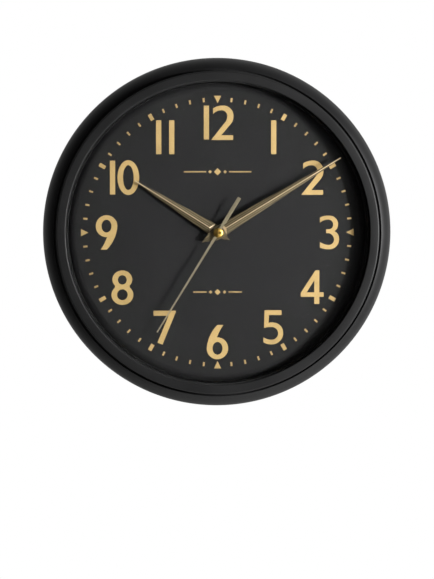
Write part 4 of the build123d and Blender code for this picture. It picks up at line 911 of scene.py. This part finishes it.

# %% [markdown]
# Enamelled copper wire is wound side by side along the coil. A wave along the coil's length gives
# each turn a rounded bump, and paints it lighter on its crown and darker where turns meet: painted
# light and shade. The board's green mask stands proud over its tracks, which a cell pattern's edges
# draw, and the chip is smooth moulded epoxy.

# %% Coil, board and chip
tree, shader = new_material("coil_copper", metallic=1.0)
turns = put(tree, "TexWave", {"Vector": put(tree, "TexCoord").outputs["Object"], "Scale": 1400.0,
                              "Distortion": 0.6, "Detail": 1.0})
# The wave's colour is painted light on each turn's crown and painted shade between turns.
tree.links.new(blend(tree, turns.outputs["Fac"], (0.33, 0.11, 0.045), (0.72, 0.31, 0.14)),
               shader.inputs["Base Color"])
tree.links.new(spread(tree, turns.outputs["Fac"], 0.42, 0.26), shader.inputs["Roughness"])
bumped(tree, shader, turns.outputs["Fac"], 0.05)

tree, shader = new_material("solder_mask", specular=0.5)
place = put(tree, "TexCoord").outputs["Object"]
traces = put(tree, "TexVoronoi", {"Vector": place, "Scale": 420.0}, feature="DISTANCE_TO_EDGE")
track = spread(tree, traces.outputs["Distance"], 1.0, 0.0, 0.06, 0.1)
tree.links.new(blend(tree, track, (0.01, 0.075, 0.03), (0.03, 0.17, 0.07)), shader.inputs["Base Color"])
tree.links.new(spread(tree, track, 0.34, 0.26), shader.inputs["Roughness"])
bumped(tree, shader, track, 0.03)

moulded("chip_epoxy", (0.008, 0.008, 0.008), (0.016, 0.015, 0.014), 0.24, 1.2, 0.05, rub=0.0, drift_mm=3.0)
print("electronics done")

# %% [markdown]
# The dry cell wears a printed film: dark along most of its length, copper at the positive end,
# with a thin pale ring between. Bare steel shows at both ends. The bands follow the cell's length.

# %% Dry cell
cell_low, cell_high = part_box("battery_cell")
tree, shader = new_material("cell_film", metallic=0.0)
place = put(tree, "TexCoord").outputs["Object"]
RING_START, COPPER_START, CAP_START, BASE_END = 0.72, 0.735, 0.972, 0.012  # shares of its length
length = spread(tree, put(tree, "SeparateXYZ", {0: place}).outputs["X"], 0.0, 1.0, cell_low.x,
                cell_high.x)


def beyond(edge):
    return maths(tree, "GREATER_THAN", length, edge)


film = use_group(tree, grain_tree, Grain_mm=0.8, Drift_mm=14.0)
dark = blend(tree, film.outputs["Drift"], (0.012, 0.014, 0.02), (0.022, 0.024, 0.032))
copper = blend(tree, film.outputs["Drift"], (0.50, 0.22, 0.09), (0.64, 0.31, 0.14))
steel = blend(tree, film.outputs["Drift"], (0.48, 0.48, 0.49), (0.62, 0.62, 0.63))
colour = blend(tree, beyond(RING_START), dark, (0.75, 0.74, 0.70))
colour = blend(tree, beyond(COPPER_START), colour, copper)
colour = blend(tree, beyond(CAP_START), colour, steel)
colour = blend(tree, maths(tree, "LESS_THAN", length, BASE_END), colour, steel)
tree.links.new(colour, shader.inputs["Base Color"])
tree.links.new(spread(tree, film.outputs["Drift"], 0.22, 0.34), shader.inputs["Roughness"])
bare = maths(tree, "MAXIMUM", beyond(COPPER_START), maths(tree, "LESS_THAN", length, BASE_END))
tree.links.new(maths(tree, "MULTIPLY", bare, 0.85), shader.inputs["Metallic"])
bumped(tree, shader, film.outputs["Height"], 0.01)
print("cell", round((cell_high.x - cell_low.x) / MM, 1), "mm long")

# %% [markdown]
# The glass is plain float glass. It would cast a dark shadow on the dial if light had to find its
# way through by chance, so for shadow rays it is swapped for a clear shader. The Light Path node
# that does this stays in the material.

# %% Glass
tree, shader = new_material("window_glass")
shader.inputs["Transmission Weight"].default_value = 1.0
shader.inputs["IOR"].default_value = 1.5
smear = use_group(tree, grain_tree, Grain_mm=8.0, Drift_mm=30.0)
tree.links.new(spread(tree, smear.outputs["Drift"], 0.0, 0.03), shader.inputs["Roughness"])
clear = put(tree, "BsdfTransparent", {"Color": (0.97, 0.975, 0.972, 1)})
in_shadow = put(tree, "LightPath").outputs["Is Shadow Ray"]
swap = put(tree, "MixShader", {0: in_shadow, 1: shader.outputs[0], 2: clear.outputs[0]})
tree.links.new(swap.outputs[0], tree.nodes["Material Output"].inputs[0])

# %% [markdown]
# ## Dressing the parts
#
# Each CAD part names its material slot, so one table turns slots into finishes. The pieces made
# here take theirs from a second table.

# %% Hand out the finishes
slot_finish = {
    "case_black": "satin_case", "bezel_black": "satin_ring", "cover_black": "cover_black",
    "window_glass": "window_glass", "gasket_rubber": "seal_rubber", "dial_black": "dial_charcoal",
    "gold_ink": "gold_ink", "plate_black": "dial_plate_black", "hand_gold": "hand_gold",
    "cap_brass": "cap_brass", "collet_brass": "collet_brass", "movement_plastic": "movement_black",
    "gear_white": "wheel_white", "gear_black": "wheel_black", "magnet": "magnet_nickel",
    "steel": "zinc_steel", "iron": "stator_iron", "copper": "coil_copper", "board": "solder_mask",
    "chip_epoxy": "chip_epoxy", "crystal_can": "crystal_can", "cell": "cell_film",
    "screw_black": "screw_black"}
for node, part in nodes.items():
    for slot in part.material_slots:
        slot.material = finishes[slot_finish[slot.material.name.split(".")[0]]]
for piece, finish in ((case_body, "satin_case"), (front_ring, "satin_ring"), (inner_wall, "wall_black_and_shade"),
                      (window, "window_glass"), (seconds_stick, "seconds_gold"), (seconds_cap, "cap_brass"),
                      (cover_ribs, "cover_black"), (wall_pads, "seal_rubber"),
                      (movement_signs, "movement_black")):
    piece.data.materials.append(finishes[finish])
for name in ("hour_blade", "minute_blade"):
    bpy.data.objects[name].data.materials.append(finishes["hand_gold"])
print(len(nodes), "CAD parts and", len(finishes), "finishes")
